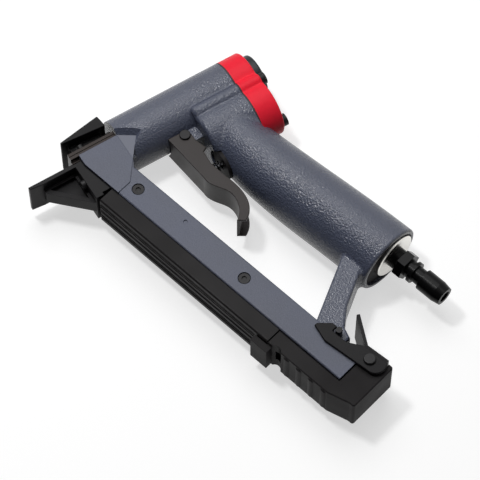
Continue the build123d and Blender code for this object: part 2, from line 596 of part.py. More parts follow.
with BuildPart() as sleeve_rings:
    for ring_low in (SLEEVE_RING_LOW, SLEEVE_RING_HIGH):
        with BuildSketch(drive_plane(ring_low)):
            Circle(SLEEVE_RADIUS)
            Circle(SLEEVE_RADIUS - RING_DEPTH, mode=Mode.SUBTRACT)
        extrude(amount=RING_WIDTH)
sleeve_rings.part.label = "sleeve_rings"
export_step(sleeve_rings.part, "parts/sleeve_rings.step")

# Rubber stop at the bottom of the sleeve, slotted for the blade
with BuildPart() as bumper:
    posts(drive_plane(SLEEVE_FLOOR), [(0, 0)], SLEEVE_BORE - PRESS_GAP, BUMPER_HEIGHT)
    with BuildSketch(drive_plane(SLEEVE_FLOOR)):
        Rectangle(2 * TRACK_REAR + OPEN_GAP, BLADE_WIDTH + OPEN_GAP)
    extrude(amount=BUMPER_HEIGHT, mode=Mode.SUBTRACT)
    chamfer(bumper.edges().filter_by(GeomType.CIRCLE).sort_by(DRIVE_AXIS)[-1], BUMPER_EDGE)
bumper.part.label = "bumper"
export_step(bumper.part, "parts/bumper.step")

# Piston with its ring and the driver blade
with BuildPart() as piston:
    posts(drive_plane(PISTON_LOW), [(0, 0)], PISTON_RADIUS, PISTON_HEIGHT)
    with BuildSketch(drive_plane(PISTON_LOW + (PISTON_HEIGHT - RING_WIDTH) / 2)):
        Circle(PISTON_RADIUS)
        Circle(PISTON_RADIUS - RING_DEPTH, mode=Mode.SUBTRACT)
    extrude(amount=RING_WIDTH, mode=Mode.SUBTRACT)
    with BuildSketch(drive_plane(PISTON_LOW)):
        Rectangle(BLADE_THICKNESS, BLADE_WIDTH)
    extrude(amount=BLADE_ROOT, mode=Mode.SUBTRACT)
piston.part.label = "piston"
export_step(piston.part, "parts/piston.step")

with BuildPart() as piston_ring:
    with BuildSketch(drive_plane(PISTON_LOW + (PISTON_HEIGHT - RING_WIDTH) / 2)):
        Circle(PISTON_RADIUS)
        Circle(PISTON_RADIUS - RING_DEPTH, mode=Mode.SUBTRACT)
    extrude(amount=RING_WIDTH)
piston_ring.part.label = "piston_ring"
export_step(piston_ring.part, "parts/piston_ring.step")

with BuildPart() as driver_blade:
    with BuildSketch(drive_plane(STROKE)):
        Rectangle(BLADE_THICKNESS, BLADE_WIDTH)
    extrude(amount=PISTON_LOW + BLADE_ROOT - STROKE)
driver_blade.part.label = "driver_blade"
export_step(driver_blade.part, "parts/driver_blade.step")

# Gasket, cap and cap screws
with BuildPart() as cap_gasket:
    head_block(HEAD_TOP, GASKET_THICKNESS)
    bore(drive_plane(HEAD_TOP), [(0, 0)], CAP_CHAMBER, GASKET_THICKNESS)
    bore(drive_plane(HEAD_TOP), [(LOBE_OFFSET, 0)], PORT_RADIUS, GASKET_THICKNESS)
    bore(drive_plane(HEAD_TOP), CAP_SPOTS, LARGE[0] + SCREW_PLAY, GASKET_THICKNESS)
    bore(drive_plane(HEAD_TOP), FRONT_SPOTS, SMALL[0] + SCREW_PLAY, GASKET_THICKNESS)
cap_gasket.part.label = "cap_gasket"
export_step(cap_gasket.part, "parts/cap_gasket.step")

with BuildPart() as cap:
    head_block(CAP_LOW, CAP_HEIGHT)
    fillet(cap.faces().sort_by(DRIVE_AXIS)[-1].edges(), CAP_EDGE)
    bore(drive_plane(CAP_LOW), [(0, 0)], CAP_CHAMBER, CAP_HEIGHT - CAP_ROOF)
    bore(drive_plane(CAP_LOW), [(LOBE_OFFSET, 0)], CAP_REAR_CHAMBER, CAP_HEIGHT - 2 * CAP_ROOF)
    with BuildSketch(drive_plane(CAP_CEILING)):
        with PolarLocations(EXHAUST_CIRCLE, EXHAUST_COUNT):
            Circle(EXHAUST_RADIUS)
    extrude(amount=CAP_ROOF, mode=Mode.SUBTRACT)
    bore(drive_plane(CAP_TOP), [(0, 0)], MEDIUM[0] + SCREW_PLAY, -DEFLECTOR_SCREW_GRIP)
    bore(drive_plane(CAP_LOW), CAP_SPOTS, LARGE[0] + SCREW_PLAY, CAP_HEIGHT)
    bore(drive_plane(CAP_LOW), FRONT_SPOTS, SMALL[0] + SCREW_PLAY, CAP_HEIGHT)
    bore(drive_plane(CAP_TOP), FRONT_SPOTS, SMALL[1] + SCREW_PLAY, -FRONT_SCREW_DEPTH)
cap.part.label = "cap"
export_step(cap.part, "parts/cap.step")

with BuildPart() as cap_screws:
    screws(drive_plane(CAP_TOP), CAP_SPOTS, LARGE, CAP_SCREW_LENGTH)
cap_screws.part.label = "cap_screws"
export_step(cap_screws.part, "parts/cap_screws.step")

with BuildPart() as cap_front_screws:
    screws(drive_plane(CAP_TOP - FRONT_SCREW_DEPTH), FRONT_SPOTS, SMALL, CAP_SCREW_LENGTH)
cap_front_screws.part.label = "cap_front_screws"
export_step(cap_front_screws.part, "parts/cap_front_screws.step")

# Head valve over the sleeve, with its spring under the cap's roof
with BuildPart() as head_valve:
    posts(drive_plane(HEAD_VALVE_LOW), [(0, 0)], HEAD_VALVE_RADIUS, HEAD_VALVE_HEIGHT)
    posts(drive_plane(HEAD_VALVE_TOP), [(0, 0)], HEAD_VALVE_BOSS, HEAD_VALVE_BOSS_HEIGHT)
head_valve.part.label = "head_valve"
export_step(head_valve.part, "parts/head_valve.step")

HEAD_SPRING_RISE = CAP_CEILING - HEAD_VALVE_TOP - 2 * HEAD_VALVE_WIRE - 2 * SEAT_GAP
HEAD_SPRING_PLANE = drive_plane(HEAD_VALVE_TOP + HEAD_VALVE_WIRE + SEAT_GAP)
with BuildPart() as head_valve_spring:
    curls(
        "head_valve_spring",
        HEAD_SPRING_PLANE,
        HEAD_VALVE_COIL,
        HEAD_VALVE_TURNS,
        HEAD_SPRING_RISE,
        HEAD_VALVE_WIRE,
    )
head_valve_spring.part.label = "head_valve_spring"
export_step(head_valve_spring.part, "parts/head_valve_spring.step")

# Exhaust deflector: a shallow cup that turns on the cap, open to one side
with BuildPart() as exhaust_deflector:
    posts(drive_plane(CAP_TOP + SEAT_GAP), [(0, 0)], DEFLECTOR_RADIUS, DEFLECTOR_HEIGHT)
    fillet(exhaust_deflector.faces().sort_by(DRIVE_AXIS)[-1].edges(), DEFLECTOR_EDGE)
    with BuildSketch(drive_plane(CAP_TOP + SEAT_GAP)):
        Circle(DEFLECTOR_RADIUS - DEFLECTOR_SHELL)
        Circle(DEFLECTOR_POST, mode=Mode.SUBTRACT)
    extrude(amount=DEFLECTOR_HEIGHT - DEFLECTOR_SHELL, mode=Mode.SUBTRACT)
    with BuildSketch(drive_plane(CAP_TOP + SEAT_GAP)):
        with Locations((-DEFLECTOR_RADIUS, 0)):
            Rectangle(DEFLECTOR_RADIUS, DEFLECTOR_RADIUS)
    extrude(amount=DEFLECTOR_HEIGHT - DEFLECTOR_SHELL, mode=Mode.SUBTRACT)
    bore(drive_plane(CAP_TOP), [(0, 0)], MEDIUM[0] + RUNNING_PLAY, FAR)
exhaust_deflector.part.label = "exhaust_deflector"
export_step(exhaust_deflector.part, "parts/exhaust_deflector.step")

with BuildPart() as deflector_screw:
    screws(
        drive_plane(CAP_TOP + DEFLECTOR_HEIGHT + 2 * SEAT_GAP),
        [(0, 0)],
        MEDIUM,
        DEFLECTOR_HEIGHT + 2 * SEAT_GAP + DEFLECTOR_SCREW_GRIP,
    )
deflector_screw.part.label = "deflector_screw"
export_step(deflector_screw.part, "parts/deflector_screw.step")

# Air inlet at the handle's end
with BuildPart() as end_plug:
    posts(rear_plane(END_PLUG_FRONT, INLET_HEIGHT), [(0, 0)], END_PLUG_RADIUS, END_PLUG_LENGTH)
    chamfer(end_plug.edges().group_by(Axis.X)[-1], END_PLUG_EDGE)
    bore(rear_plane(END_PLUG_FRONT, INLET_HEIGHT), [(0, 0)], THREAD_RADIUS + PRESS_GAP, FAR)
end_plug.part.label = "end_plug"
export_step(end_plug.part, "parts/end_plug.step")

with BuildPart() as end_plug_ring:
    with BuildSketch(rear_plane(END_RING_FRONT, HANDLE_CENTRE)):
        Ellipse(*END_RING_HALF)
        with Locations((INLET_OFFSET, 0)):
            Circle(END_PLUG_RADIUS + PRESS_GAP, mode=Mode.SUBTRACT)
    extrude(amount=END_RING_THICKNESS)
end_plug_ring.part.label = "end_plug_ring"
export_step(end_plug_ring.part, "parts/end_plug_ring.step")

with BuildPart() as air_plug:
    with BuildSketch(Plane.XY):
        with BuildLine():
            Polyline(
                (END_PLUG_FRONT, INLET_HEIGHT + PLUG_BORE),
                (END_PLUG_FRONT, INLET_HEIGHT + THREAD_RADIUS),
                (HEX_REAR, INLET_HEIGHT + THREAD_RADIUS),
                (HEX_REAR, INLET_HEIGHT + PLUG_NECK_RADIUS),
                (PLUG_COLLAR_FRONT, INLET_HEIGHT + PLUG_NECK_RADIUS),
                (PLUG_COLLAR_FRONT, INLET_HEIGHT + PLUG_COLLAR_RADIUS),
                (PLUG_COLLAR_REAR, INLET_HEIGHT + PLUG_COLLAR_RADIUS),
                (PLUG_COLLAR_REAR, INLET_HEIGHT + PLUG_GROOVE_RADIUS),
                (PLUG_NOSE_FRONT, INLET_HEIGHT + PLUG_GROOVE_RADIUS),
                (PLUG_NOSE_FRONT, INLET_HEIGHT + PLUG_NOSE_RADIUS),
                (PLUG_TAPER, INLET_HEIGHT + PLUG_NOSE_RADIUS),
                (PLUG_END, INLET_HEIGHT + PLUG_TIP_RADIUS),
                (PLUG_END, INLET_HEIGHT + PLUG_BORE),
                close=True,
            )
        make_face()
    revolve(axis=Axis(origin=(0, INLET_HEIGHT, 0), direction=(1, 0, 0)))
    with BuildSketch(rear_plane(HEX_FRONT, INLET_HEIGHT)):
        RegularPolygon(HEX_ACROSS_FLATS / 2, 6, major_radius=False)
        Circle(PLUG_NECK_RADIUS, mode=Mode.SUBTRACT)
    extrude(amount=HEX_REAR - HEX_FRONT)
air_plug.part.label = "air_plug"
export_step(air_plug.part, "parts/air_plug.step")

# Magazine housing: an inverted channel whose walls run up into the nose's cheeks
with BuildPart() as magazine_housing:
    with BuildSketch():
        with BuildLine():
            Polyline(
                nose_point(TRACK_FRONT, HOUSING_NOSE),
                nose_point(rear_at(HOUSING_NOSE, RAIL_LOW), HOUSING_NOSE),
                (RAIL_END, RAIL_LOW),
                (RAIL_END, RAIL_TOP),
                (CHEEK_HEEL, RAIL_TOP),
                nose_point(CHEEK_TOP_REAR, CYLINDER_FOOT),
                nose_point(TRACK_FRONT, CYLINDER_FOOT),
                close=True,
            )
        make_face()
    extrude(amount=RAIL_HALF, both=True)
    fillet(magazine_housing.edges().filter_by(Axis.X), RAIL_EDGE)
    with BuildSketch():
        with BuildLine():
            Polyline(
                nose_point(TRACK_FRONT, HOUSING_NOSE),
                nose_point(rear_at(HOUSING_NOSE, RAIL_LOW), HOUSING_NOSE),
                (CHEEK_LINE_FOOT[0], RAIL_LOW),
                CHEEK_LINE_FOOT,
                nose_point(CHEEK_LINE_TOP, CYLINDER_FOOT),
                nose_point(TRACK_FRONT, CYLINDER_FOOT),
                close=True,
            )
        make_face()
    extrude(amount=CHEEK_HALF, both=True)
    with BuildSketch():
        with Locations((RAIL_END, WEB_LOW)):
            Rectangle(FAR, FAR, align=(Align.CENTER, Align.MAX))
        with Locations((0, RAIL_TOP)):
            Rectangle(FAR, FAR, align=(Align.CENTER, Align.MIN))
    extrude(amount=RAIL_INNER, both=True, mode=Mode.SUBTRACT)
    with BuildSketch(NOSE_SIDE):
        with Locations((FOOT_FRONT, 0)):
            Rectangle(FAR, FAR, align=(Align.MAX, Align.CENTER))
    extrude(amount=RAIL_INNER, both=True, mode=Mode.SUBTRACT)
    with BuildSketch(Plane.XY.offset(CHANNEL_INNER)):
        with BuildLine():
            Polyline(
                nose_point(FOOT_FRONT, HOUSING_NOSE),
                nose_point(rear_at(HOUSING_NOSE, RAIL_LOW), HOUSING_NOSE),
                (CHEEK_BOSS_END, RAIL_LOW),
                (CHEEK_BOSS_END, CHEEK_BOSS_TOP),
                nose_point(FOOT_FRONT, along_at(FOOT_FRONT, CHEEK_BOSS_TOP)),
                close=True,
            )
        make_face()
    cheek_boss = extrude(amount=RAIL_INNER - CHANNEL_INNER)
    mirror(cheek_boss, about=Plane.XY)
    bore(nose_plane(PLATE_FRONT), NOSE_SPOTS[:2], SMALL[0] + SCREW_PLAY, NOSE_SCREW_LENGTH)
    bore(drive_plane(0), FENCE_SPOTS, MEDIUM[0] + SCREW_PLAY, FENCE_SCREW_LENGTH)
    bore(Plane.XY.offset(-FAR / 2), RAIL_SPOTS, RAIL_SCREW[0] + SCREW_PLAY, FAR)
    for outside in (Plane.XY.offset(RAIL_HALF), Plane.XY.offset(-RAIL_HALF)):
        with BuildSketch(outside):
            with Locations(*RAIL_SPOTS):
                Circle(RAIL_SCREW[1] + OPEN_GAP)
        extrude(amount=RAIL_SCREW_SEAT, both=True, mode=Mode.SUBTRACT)
        with BuildSketch(outside):
            with Locations(DIMPLE):
                Circle(DIMPLE_RADIUS)
        extrude(amount=DIMPLE_DEPTH, both=True, mode=Mode.SUBTRACT)
    bore(Plane.XZ.offset(-WEB_LOW), FOOT_SPOTS, FOOT_SCREW[0] + SCREW_PLAY, -RAIL_WEB)
    bore(Plane.XZ.offset(-WEB_LOW), FOOT_SPOTS, FOOT_SCREW[1] + SCREW_PLAY, -FOOT_SCREW_SINK)
magazine_housing.part.label = "magazine_housing"
export_step(magazine_housing.part, "parts/magazine_housing.step")

with BuildPart() as rail_screws:
    screws(Plane.XY.offset(RAIL_HALF - RAIL_SCREW_SEAT), RAIL_SPOTS, RAIL_SCREW, RAIL_SCREW_LENGTH)
    mirror(about=Plane.XY)
rail_screws.part.label = "rail_screws"
export_step(rail_screws.part, "parts/rail_screws.step")

# Screws from inside the housing into the casting's foot and strut
with BuildPart() as housing_screws:
    screws(
        Plane.XZ.offset(-WEB_LOW - FOOT_SCREW_SINK),
        FOOT_SPOTS,
        FOOT_SCREW,
        RAIL_WEB - FOOT_SCREW_SINK + FOOT_SCREW_LENGTH,
    )
housing_screws.part.label = "housing_screws"
export_step(housing_screws.part, "parts/housing_screws.step")

# Lower channel: its flanges stand inside the housing and guide the drawer
with BuildPart() as magazine_channel:
    with BuildSketch(rear_plane(CHANNEL_FRONT)):
        with Locations((CHANNEL_LOW, 0)):
            Rectangle(RAIL_LOW - CHANNEL_GAP - CHANNEL_LOW, 2 * CHANNEL_HALF, align=(Align.MIN, Align.CENTER))
    extrude(amount=CHANNEL_BREAK - CHANNEL_FRONT)
    fillet(magazine_channel.edges().filter_by(Axis.X).group_by(Axis.Y)[0], CHANNEL_EDGE)
    with BuildSketch(rear_plane(CHANNEL_FRONT)):
        Rectangle(CHANNEL_TOP, 2 * (RAIL_INNER - SCREW_PLAY), align=(Align.MIN, Align.CENTER))
    extrude(amount=CHANNEL_BREAK - CHANNEL_FRONT)
    with BuildSketch(rear_plane(CHANNEL_FRONT)):
        with Locations((RAIL_LOW + CHANNEL_GAP, 0)):
            Rectangle(
                CHANNEL_TOP - RAIL_LOW - CHANNEL_GAP,
                2 * (RAIL_INNER - SCREW_PLAY),
                align=(Align.MIN, Align.CENTER),
            )
    extrude(amount=RAIL_END - CHANNEL_FRONT)
    with BuildSketch(rear_plane(CHANNEL_FRONT + CHANNEL_FRONT_WALL)):
        with Locations((CHANNEL_LOW + CHANNEL_FLOOR, 0)):
            Rectangle(FAR, 2 * CHANNEL_INNER, align=(Align.MIN, Align.CENTER))
    extrude(amount=FAR, mode=Mode.SUBTRACT)
    with BuildSketch(rear_plane(CHANNEL_FRONT)):
        with Locations((RAIL_LOW - CHANNEL_GAP, 0)):
            Rectangle(FAR, 2 * CHANNEL_INNER, align=(Align.MIN, Align.CENTER))
    extrude(amount=FAR, mode=Mode.SUBTRACT)
    with BuildSketch(rear_plane(CHANNEL_FRONT)):
        with Locations((CHANNEL_LOW, CHANNEL_GROOVE_SIDE), (CHANNEL_LOW, -CHANNEL_GROOVE_SIDE)):
            Rectangle(2 * CHANNEL_GROOVE, CHANNEL_GROOVE_WIDTH)
    extrude(amount=FAR, mode=Mode.SUBTRACT)
    bore(Plane.XY.offset(-FAR / 2), RAIL_SPOTS, RAIL_SCREW[0] + SCREW_PLAY, FAR)
magazine_channel.part.label = "magazine_channel"
export_step(magazine_channel.part, "parts/magazine_channel.step")

# Nose plate: closes the driver's track in front, with two ribs beside the blade
with BuildPart() as nose_plate:
    with BuildSketch(nose_plane(PLATE_FRONT)):
        Rectangle(PLATE_TOP, 2 * PLATE_HALF, align=(Align.MIN, Align.CENTER))
    extrude(amount=TRACK_FRONT - PLATE_FRONT)
    with BuildSketch(nose_plane(PLATE_FRONT + PLATE_STEP)):
        with Locations((0, PLATE_HALF), (0, -PLATE_HALF)):
            Rectangle(FAR, 2 * (PLATE_HALF - PLATE_STEP_HALF))
    extrude(amount=PLATE_SEAM, mode=Mode.SUBTRACT)
    with BuildSketch(nose_plane(TRACK_FRONT)):
        with Locations((0, PLATE_RIB_SIDE), (0, -PLATE_RIB_SIDE)):
            Rectangle(PLATE_TOP, PLATE_RIB_OUTER - PLATE_RIB_INNER, align=(Align.MIN, Align.CENTER))
    extrude(amount=TRACK_REAR - TRACK_FRONT)
    bore(nose_plane(PLATE_FRONT), NOSE_SPOTS, SMALL[0] + SCREW_PLAY, FAR)
    bore(nose_plane(SHOE_SCREW_SEAT), SHOE_SPOTS, MEDIUM[0] + SCREW_PLAY, SHOE_SCREW_LENGTH)
nose_plate.part.label = "nose_plate"
export_step(nose_plate.part, "parts/nose_plate.step")

with BuildPart() as nose_screws:
    screws(front_plane(PLATE_FRONT), NOSE_SPOTS, SMALL, NOSE_SCREW_LENGTH)
nose_screws.part.label = "nose_screws"
export_step(nose_screws.part, "parts/nose_screws.step")

# Guide shoe in front of the nose
with BuildPart() as guide_shoe:
    with BuildSketch(NOSE_SIDE):
        with BuildLine():
            Polyline(SHOE_TOE, SHOE_BACK, SHOE_BROW, close=True)
        make_face()
    extrude(amount=SHOE_HALF, both=True)
    fillet(guide_shoe.edges().filter_by(Axis.Z), SHOE_EDGE)
    fillet(guide_shoe.edges().filter_by(Axis.Z, reverse=True), SHOE_SIDE_EDGE)
    with BuildSketch(NOSE_SIDE):
        with Locations((PLATE_FRONT, SHOE_BLOCK_LOW)):
            Rectangle(
                PLATE_FRONT - SHOE_BLOCK_FRONT, SHOE_BLOCK_TOP - SHOE_BLOCK_LOW, align=(Align.MAX, Align.MIN)
            )
    extrude(amount=SHOE_BLOCK_HALF, both=True)
    bore(nose_plane(SHOE_SCREW_SEAT), SHOE_SPOTS, MEDIUM[0] + SCREW_PLAY, FAR)
    bore(nose_plane(SHOE_SCREW_SEAT), SHOE_SPOTS, MEDIUM[1] + SCREW_PLAY, -FAR)
guide_shoe.part.label = "guide_shoe"
export_step(guide_shoe.part, "parts/guide_shoe.step")

with BuildPart() as shoe_screws:
    screws(front_plane(SHOE_SCREW_SEAT), SHOE_SPOTS, MEDIUM, SHOE_SCREW_LENGTH)
shoe_screws.part.label = "shoe_screws"
export_step(shoe_screws.part, "parts/shoe_screws.step")

# Corner fence: wall behind the muzzle, base plate under the housing and a pocketed rib between them
with BuildPart() as corner_fence:
    with BuildSketch(NOSE_SIDE):
        with BuildLine():
            Polyline(
                (FENCE_FRONT + FENCE_RELIEF, FENCE_BASE),
                (FENCE_FRONT + FENCE_RELIEF, FENCE_RELIEF_TOP),
                (FENCE_FRONT, FENCE_RELIEF_TOP),
                (FENCE_FRONT, FENCE_END),
                (FENCE_TOE, FENCE_END),
                (FENCE_FRONT + FENCE_WALL, FENCE_TAPER),
                (FENCE_FRONT + FENCE_WALL, 0),
                (FENCE_BASE_REAR, 0),
                (FENCE_BASE_REAR, FENCE_BASE),
                (FENCE_WEDGE_REAR, FENCE_BASE),
                (FENCE_WEDGE_REAR, along_at(FENCE_WEDGE_REAR, RAIL_LOW - FOOT_GAP)),
                (rear_at(FENCE_BASE, RAIL_LOW - FOOT_GAP), FENCE_BASE),
                close=True,
            )
        make_face()
    extrude(amount=FENCE_HALF, both=True)
    with BuildSketch(NOSE_SIDE):
        with BuildLine():
            Polyline(
                (FENCE_FRONT + FENCE_WALL, FENCE_BASE),
                (FENCE_FRONT + FENCE_WALL, FENCE_TAPER),
                FENCE_RIB_TOE,
                FENCE_RIB_HEEL,
                (FENCE_RIB_HEEL[0], FENCE_BASE),
                close=True,
            )
        make_face()
    extrude(amount=FENCE_WEB_HALF, both=True)
    for outside in (FENCE_WEB_HALF, -FENCE_WEB_HALF):
        with BuildSketch(NOSE_SIDE.offset(outside)):
            with BuildLine():
                Polyline(*FENCE_POCKET, close=True)
            make_face()
        extrude(amount=FENCE_POCKET_DEPTH, both=True, mode=Mode.SUBTRACT)
    round_sides(corner_fence, FENCE_EDGE)
    bore(drive_plane(0), FENCE_SPOTS, MEDIUM[0] + SCREW_PLAY, FAR)
corner_fence.part.label = "corner_fence"
export_step(corner_fence.part, "parts/corner_fence.step")

with BuildPart() as fence_screws:
    screws(Plane(origin=(0, 0, 0), x_dir=REARWARD, z_dir=-ALONG), FENCE_SPOTS, MEDIUM, FENCE_SCREW_LENGTH)
fence_screws.part.label = "fence_screws"
export_step(fence_screws.part, "parts/fence_screws.step")

# Trigger: a bent sheet of two side plates and a web, on a pin through the casting's boss
with BuildPart() as trigger:
    with BuildSketch(Plane.XY.offset(TRIGGER_HALF - TRIGGER_SHEET)):
        with BuildLine():
            Line(TRIGGER_WEB_FRONT, TRIGGER_WEB_BEND)
            Spline(TRIGGER_WEB_BEND, *TRIGGER_WEB_WAVE, TRIGGER_WEB_TIP)
            Line(TRIGGER_WEB_TIP, TRIGGER_BACK_TIP)
            Spline(TRIGGER_BACK_TIP, *TRIGGER_BACK_WAVE, TRIGGER_BACK_BEND)
            Polyline(TRIGGER_BACK_BEND, *TRIGGER_SHOULDER, TRIGGER_WEB_FRONT)
        make_face()
    trigger_plate = extrude(amount=TRIGGER_SHEET)
    mirror(trigger_plate, about=Plane.XY)
    with BuildSketch():
        with BuildLine():
            Line(TRIGGER_WEB_FRONT, TRIGGER_WEB_BEND)
            Spline(TRIGGER_WEB_BEND, *TRIGGER_WEB_WAVE, TRIGGER_WEB_TIP)
            Line(TRIGGER_WEB_TIP, shifted(TRIGGER_WEB_TIP))
            Spline(
                shifted(TRIGGER_WEB_TIP),
                *[shifted(point) for point in reversed(TRIGGER_WEB_WAVE)],
                shifted(TRIGGER_WEB_BEND),
            )
            Polyline(shifted(TRIGGER_WEB_BEND), shifted(TRIGGER_WEB_FRONT), TRIGGER_WEB_FRONT)
        make_face()
    extrude(amount=TRIGGER_HALF, both=True)
    round_sides(trigger, TRIGGER_EDGE)
    bore(drive_plane(0), [(0, 0)], CYLINDER_RADIUS + TRIGGER_CLEARANCE, FAR)
    bore(Plane.XY.offset(-FAR / 2), [TRIGGER_PIVOT], TRIGGER_PIN_RADIUS + RUNNING_PLAY, FAR)
trigger.part.label = "trigger"
export_step(trigger.part, "parts/trigger.step")

with BuildPart() as trigger_pin:
    posts(Plane.XY, [TRIGGER_PIVOT], TRIGGER_PIN_RADIUS, TRIGGER_HALF + SEAT_GAP)
    posts(Plane.XY.offset(TRIGGER_HALF + SEAT_GAP), [TRIGGER_PIVOT], TRIGGER_PIN_HEAD, TRIGGER_PIN_CROWN)
    fillet(trigger_pin.edges().group_by(Axis.Z)[-1], TRIGGER_PIN_CROWN / 2)
    mirror(about=Plane.XY)
trigger_pin.part.label = "trigger_pin"
export_step(trigger_pin.part, "parts/trigger_pin.step")

# Trigger valve: bush with its sealing ring, stem with a button on the trigger, and the return spring
with BuildPart() as valve_bush:
    posts(drive_plane(FLANGE_LOW), [(VALVE_OFFSET, 0)], VALVE_FLANGE, VALVE_FLANGE_HEIGHT)
    posts(drive_plane(VALVE_FACE), [(VALVE_OFFSET, 0)], VALVE_BODY, VALVE_BODY_LENGTH)
    with BuildSketch(drive_plane(VALVE_RING_LOW, VALVE_OFFSET)):
        Circle(VALVE_BODY)
        Circle(VALVE_BODY - RING_DEPTH, mode=Mode.SUBTRACT)
    extrude(amount=RING_WIDTH, mode=Mode.SUBTRACT)
    bore(drive_plane(FLANGE_LOW), [(VALVE_OFFSET, 0)], STEM_RADIUS + RUNNING_PLAY, FAR)
valve_bush.part.label = "valve_bush"
export_step(valve_bush.part, "parts/valve_bush.step")

with BuildPart() as valve_ring:
    with BuildSketch(drive_plane(VALVE_RING_LOW, VALVE_OFFSET)):
        Circle(VALVE_BODY)
        Circle(VALVE_BODY - RING_DEPTH, mode=Mode.SUBTRACT)
    extrude(amount=RING_WIDTH)
valve_ring.part.label = "valve_ring"
export_step(valve_ring.part, "parts/valve_ring.step")

with BuildPart() as valve_stem:
    posts(drive_plane(BUTTON_LOW), [(VALVE_OFFSET, 0)], BUTTON_RADIUS, BUTTON_HEIGHT)
    posts(drive_plane(BUTTON_LOW), [(VALVE_OFFSET, 0)], STEM_RADIUS, STEM_LENGTH)
valve_stem.part.label = "valve_stem"
export_step(valve_stem.part, "parts/valve_stem.step")

VALVE_SPRING_RISE = FLANGE_LOW - BUTTON_TOP - 2 * VALVE_WIRE - 2 * SEAT_GAP
VALVE_SPRING_PLANE = drive_plane(BUTTON_TOP + VALVE_WIRE + SEAT_GAP, VALVE_OFFSET)
with BuildPart() as valve_spring:
    curls("valve_spring", VALVE_SPRING_PLANE, VALVE_COIL, VALVE_TURNS, VALVE_SPRING_RISE, VALVE_WIRE)
valve_spring.part.label = "valve_spring"
export_step(valve_spring.part, "parts/valve_spring.step")

# Drawer: a U rail that carries the nails, with a lug for the guide rod
with BuildPart() as drawer:
    with BuildSketch(rear_plane(0)):
        with Locations((DRAWER_FLOOR_LOW, 0)):
            Rectangle(DRAWER_TOP - DRAWER_FLOOR_LOW, 2 * DRAWER_HALF, align=(Align.MIN, Align.CENTER))
        with Locations((DRAWER_FLOOR_TOP, 0)):
            Rectangle(
                FAR, 2 * (DRAWER_HALF - DRAWER_WALL), align=(Align.MIN, Align.CENTER), mode=Mode.SUBTRACT
            )
    extrude(amount=DRAWER_REAR)
    with BuildSketch(NOSE_SIDE):
        with Locations((DRAWER_NOSE, 0)):
            Rectangle(FAR, FAR, align=(Align.MAX, Align.CENTER))
        with Locations((0, FENCE_BASE + SEAT_GAP)):
            Rectangle(2 * FENCE_BASE_REAR, FAR, align=(Align.CENTER, Align.MAX))
    extrude(amount=FAR, both=True, mode=Mode.SUBTRACT)
    with BuildSketch(rear_plane(LUG_FRONT)):
        with Locations((LUG_LOW, 0)):
            Rectangle(DRAWER_FLOOR_LOW - LUG_LOW, 2 * LUG_HALF, align=(Align.MIN, Align.CENTER))
    extrude(amount=LUG_LENGTH)
    with BuildSketch(Plane.XZ.offset(-DRAWER_FLOOR_LOW)):
        with Locations((PUSHER_TAIL_FRONT - OPEN_GAP, 0)):
            Rectangle(
                PUSHER_TAIL_LENGTH + PUSHER_TRAVEL + 2 * OPEN_GAP,
                2 * DRAWER_SLOT,
                align=(Align.MIN, Align.CENTER),
            )
    extrude(amount=DRAWER_FLOOR_LOW - DRAWER_FLOOR_TOP, mode=Mode.SUBTRACT)
    bore(rear_plane(LUG_FRONT), [(ROD_HEIGHT, 0)], ROD_RADIUS + PRESS_GAP, FAR)
drawer.part.label = "drawer"
export_step(drawer.part, "parts/drawer.step")

